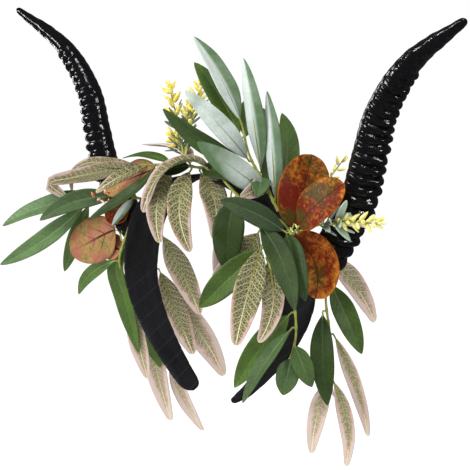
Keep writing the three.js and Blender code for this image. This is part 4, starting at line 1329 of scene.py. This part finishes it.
class HEADBAND_OT_sprigs(bpy.types.Operator):
    """Model one bud and one narrow leaf, and build the sprigs and buds from copies"""

    bl_idname = "headband.sprigs"
    bl_label = "Sprigs"

    def model_bud(self, settings):
        """A drop-shaped bud with a pinched tip and a waist above its foot."""
        clear_selection()
        bpy.ops.mesh.primitive_uv_sphere_add(segments=8, ring_count=7, radius=1)
        bud = bpy.context.object
        rows = point_rows(bud.data, 2, 3)
        bpy.ops.object.mode_set(mode="EDIT")
        bpy.ops.mesh.select_mode(type="VERT")
        for height, indices in rows.items():
            pick_points(bud, indices)
            waist = BUD_WAIST * (height < WAIST_BELOW)
            slim = settings.bud_width * (1 - BUD_PINCH * height - waist)
            bpy.ops.transform.resize(value=(slim, slim, 1), center_override=(0, 0, height))
        bpy.ops.mesh.select_all(action="SELECT")
        bpy.ops.transform.resize(value=(1, 1, settings.bud_length), center_override=(0, 0, -1))
        bpy.ops.transform.translate(value=(0, 0, 1))
        bpy.ops.object.mode_set(mode="OBJECT")
        bpy.ops.object.shade_smooth()
        return bud

    def model_needle(self):
        """A narrow leaf: a small grid drawn in at its ends, creased, curled and thickened."""
        needle = model_blank("willow", 8, 2)
        needle.hide_render = False
        for vert in needle.data.vertices:
            x, y = vert.co.x, vert.co.y
            rise = abs(y) * NEEDLE_CREASE * MM + x ** 2 * NEEDLE_CURL * MM
            vert.co = (x * NEEDLE_LONG * MM, y * NEEDLE_WIDE * MM, rise)
        thicken(needle, thickness=NEEDLE_WALL * MM)
        return needle

    def outward(self, run, turn):
        """A direction square to a sprig's run, turned round it."""
        aside = run.cross(FACING).normalized()
        return aside * math.cos(turn) + aside.cross(run) * math.sin(turn)

    def copy_at(self, source, name, point, way, turn, size, material, tone):
        """A copy of the bud or narrow leaf with its own mesh, pointing a given way."""
        piece, axis = source
        aim = axis.rotation_difference(way.normalized()) @ Quaternion(axis, turn)
        mesh = piece.data.copy()
        mesh.transform(Matrix.LocRotScale(point * MM, aim, Vector((size, size, size))))
        coat(mesh, material)
        mark(mesh, tone)
        return new_piece(name, mesh)

    def model_sprig(self, row, bud, needle, finishes, chance):
        """The rods, narrow leaves and buds of one sprig."""
        yellow, flocked, plastic = finishes
        stem = STEM_LINES[row["spray"]]
        root = root_point(stem, row["at"], Vector(row["tips"][0]))
        bare, budding = row["bare"], row["budding"]
        parts = []
        for tip in row["tips"]:
            end = Vector(tip)
            bend = root.lerp(end, 0.5)
            bend.z += (end - root).length * ROD_ARCH
            line = smooth_line([root, bend, end])
            steps = [step / ROD_STEPS for step in range(ROD_STEPS + 1)]
            points = [stem.at(row["at"]), *(line.at(share) for share in steps)]
            radii = [ROD_FOOT, *(ROD_FOOT - ROD_TAPER * share for share in steps)]
            parts.append(model_rod(f"sprig_rod_{len(parts)}", points, radii, plastic, rounding=1))
            for place in range(row["needles"]):
                share = bare + (budding + NEEDLE_PAST - bare) * place / row["needles"]
                turn = place * NEXT_TURN
                lean = line.run(share) * NEEDLE_LEAN + self.outward(line.run(share), turn)
                size = chance.uniform(*NEEDLE_SIZE) * row["long"]
                tone = clamp(row["tone"] + chance.uniform(-NEEDLE_TONE, NEEDLE_TONE))
                parts.append(self.copy_at(needle, f"needle_{len(parts)}", line.at(share), lean,
                                          turn, size, flocked, tone))
            for place in range(row["buds"]):
                share = budding + (1 - budding) * place / (row["buds"] - 1)
                turn = place * NEXT_TURN + 1
                closing = max(share - CLOSE_FROM, 0) / (1 - CLOSE_FROM)
                spread = BUD_SPREAD - BUD_CLOSE * closing
                away = self.outward(line.run(share), turn)
                size = chance.uniform(*BUD_SIZE) * row["full"]
                size *= BUD_LARGE - LAST_LOSS * (share > LAST_FROM)
                foot = line.at(share) + away * BUD_OFF
                parts.append(self.copy_at(bud, f"bud_{len(parts)}", foot,
                                          line.run(share) + away * spread, turn, size, yellow,
                                          row["tone"]))
        return parts

    def model_coral_buds(self, bud, coral, plastic, chance):
        """Coral buds on thin stalks off the left stem, towards the front."""
        line = STEM_LINES["left"]
        parts = []
        for place in range(CORAL_BUDS):
            turn = place * NEXT_TURN
            foot = line.at(CORAL_FROM + CORAL_STEP * place)
            away = self.outward(line.run(0.6), turn)
            head = foot + FACING * CORAL_OUT + away * CORAL_ASIDE
            parts.append(model_rod(f"coral_stalk_{place}", [foot, foot.lerp(head, 0.6), head],
                                   CORAL_STALK, plastic, rounding=1))
            parts.append(self.copy_at(bud, f"coral_{place}", head, FACING + away, turn,
                                      chance.uniform(*CORAL_SIZE), coral, 0.0))
        return parts

    def model_pale_buds(self, bud, yellow, chance):
        """A knot of pale buds where the copper leaves meet, at the end of the right stem."""
        end = STEM_LINES["right"].at(1) + PALE_FOOT
        parts = []
        for place in range(PALE_BUDS):
            turn = place * NEXT_TURN
            way = self.outward(FACING.orthogonal().normalized(), turn) + FACING * PALE_LEAN
            foot = end + PALE_STEP * (place % 3)
            parts.append(self.copy_at(bud, f"knot_{place}", foot, way, turn,
                                      chance.uniform(*PALE_SIZE), yellow, PALE_TONE))
        return parts

    def execute(self, context):
        settings = context.scene.headband_sprigs
        yellow = dipped_bud_plastic("dipped_yellow_plastic", settings.yellow, settings.straw)
        coral = dipped_bud_plastic("dipped_coral_plastic", settings.coral, settings.blush)
        plastic = bpy.data.materials["moulded_stem_plastic"]
        finishes = (yellow, flocked_needle_plastic(settings), plastic)
        bud = (self.model_bud(settings), Vector((0, 0, 1)))
        needle = (self.model_needle(), Vector((1, 0, 0)))
        chance = random.Random(SPRIG_SEED)
        for name, row in SPRIGS.items():
            settle_together(self.model_sprig(row, bud, needle, finishes, chance),
                            f"moulded_sprig_{name}", "sprig_plastic", f"yellow_sprig_{name}")
        settle_together(self.model_coral_buds(bud, coral, plastic, chance),
                        "coral_buds_left", "sprig_plastic", "left_stem")
        settle_together(self.model_pale_buds(bud, yellow, chance),
                        "pale_buds_right", "sprig_plastic", "right_stem")
        for source, _ in (bud, needle):
            bpy.data.objects.remove(source)
        return {"FINISHED"}


class HEADBAND_OT_stage(bpy.types.Operator):
    """Set the pale floor, the soft studio light and the camera"""

    bl_idname = "headband.stage"
    bl_label = "Stage"

    def lay_floor(self, settings):
        """A broad floor in matt white."""
        clear_selection()
        bpy.ops.mesh.primitive_grid_add(x_subdivisions=FLOOR_SQUARES, y_subdivisions=FLOOR_SQUARES,
                                        size=FLOOR_SIZE, location=(0, 0, -settings.floor_drop))
        floor = bpy.context.object
        floor.name = "studio_floor"
        floor.data.materials.append(matt_floor_paint(settings.paint))
        floor.visible_glossy = False

    def light(self, scene, settings):
        """A white backdrop, a broad sun and soft boxes for the glints."""
        world = bpy.data.worlds.new("studio_fill")
        scene.world = world
        world.use_nodes = True
        add = partial(add_node, world.node_tree)
        sky = world.node_tree.nodes["Background"]
        # The backdrop is plain white to look at, gives a soft fill as light, and is dim in
        # reflections, so that gloss shows the soft boxes only.
        rays, soft = add("LightPath"), settings.fill_light
        plain = add("Math", rays["Is Camera Ray"], 1.0 - soft, soft, operation="MULTIPLY_ADD")[0]
        glow = add("Math", rays["Is Glossy Ray"], GLOSS_FILL - soft, plain,
                   operation="MULTIPLY_ADD")[0]
        fill(world.node_tree, zip(sky.inputs, (linear("#ffffff"), glow)))
        bpy.ops.object.light_add(type="SUN", location=SUN_PLACE)
        sun = bpy.context.object
        sun.data.energy = settings.soft_light
        sun.data.angle = SUN_BREADTH
        sun.visible_glossy = False
        lamps = [sun]
        for spot, energy, wide, high in SOFT_BOXES:
            bpy.ops.object.light_add(type="AREA", location=spot)
            box = bpy.context.object
            box.data.shape = "RECTANGLE"
            box.data.size = wide
            box.data.size_y = high
            box.data.energy = energy
            lamps.append(box)
        for lamp in lamps:
            lamp.rotation_euler = (LIT_PLACE - lamp.location).to_track_quat("-Z", "Y").to_euler()

    def set_camera(self, scene, settings):
        """The camera at the front right, slightly above and leaning a little."""
        turn, rise, roll = settings.azimuth, settings.elevation, settings.roll
        away = Vector((math.sin(turn) * math.cos(rise), -math.cos(turn) * math.cos(rise),
                       math.sin(rise)))
        right = Vector((math.cos(turn), math.sin(turn), 0))
        leaning = right * math.cos(roll) + away.cross(right) * math.sin(roll)
        turned = Matrix((leaning, away.cross(leaning), away)).transposed().to_4x4()
        data = bpy.data.cameras.new("studio_camera")
        data.lens = settings.lens
        data.sensor_width = SENSOR
        data.clip_start = 0.01
        camera = new_piece("studio_camera", data)
        place = CAMERA_AIM + away * settings.camera_distance
        camera.matrix_world = Matrix.Translation(place) @ turned
        scene.camera = camera

    def execute(self, context):
        settings = context.scene.headband_stage
        self.lay_floor(settings)
        self.light(context.scene, settings)
        self.set_camera(context.scene, settings)
        context.scene.view_settings.view_transform = "Standard"
        return {"FINISHED"}


class HEADBAND_PT_panel(bpy.types.Panel):
    """Lists the steps that make the headband"""

    bl_label = "Antelope Horn Headband"
    bl_idname = "HEADBAND_PT_panel"
    bl_space_type = "VIEW_3D"
    bl_region_type = "UI"
    bl_category = "Headband"

    def draw(self, context):
        for step in STEPS:
            self.layout.operator(step.bl_idname)


STEPS = (
    HEADBAND_OT_stage, HEADBAND_OT_band, HEADBAND_OT_horns, HEADBAND_OT_stems,
    HEADBAND_OT_willow_leaves, HEADBAND_OT_netted_leaves, HEADBAND_OT_copper_leaves,
    HEADBAND_OT_sprigs,
)
GROUPS = {
    "headband_band": BandSettings,
    "headband_horns": HornSettings,
    "headband_stems": StemSettings,
    "headband_leaves": LeafSettings,
    "headband_sprigs": SprigSettings,
    "headband_stage": StageSettings,
}


def register():
    for group in (*GROUPS.values(), *STEPS, HEADBAND_PT_panel):
        bpy.utils.register_class(group)
    for name, group in GROUPS.items():
        setattr(bpy.types.Scene, name, PointerProperty(type=group))


def unregister():
    for name in GROUPS:
        delattr(bpy.types.Scene, name)
    for group in reversed((*GROUPS.values(), *STEPS, HEADBAND_PT_panel)):
        bpy.utils.unregister_class(group)


def main():
    register()
    bpy.ops.headband.stage()
    bpy.ops.headband.band()
    bpy.ops.headband.horns()
    bpy.ops.headband.stems()
    bpy.ops.headband.willow_leaves()
    bpy.ops.headband.netted_leaves()
    bpy.ops.headband.copper_leaves()
    bpy.ops.headband.sprigs()


if __name__ == "__main__":
    main()
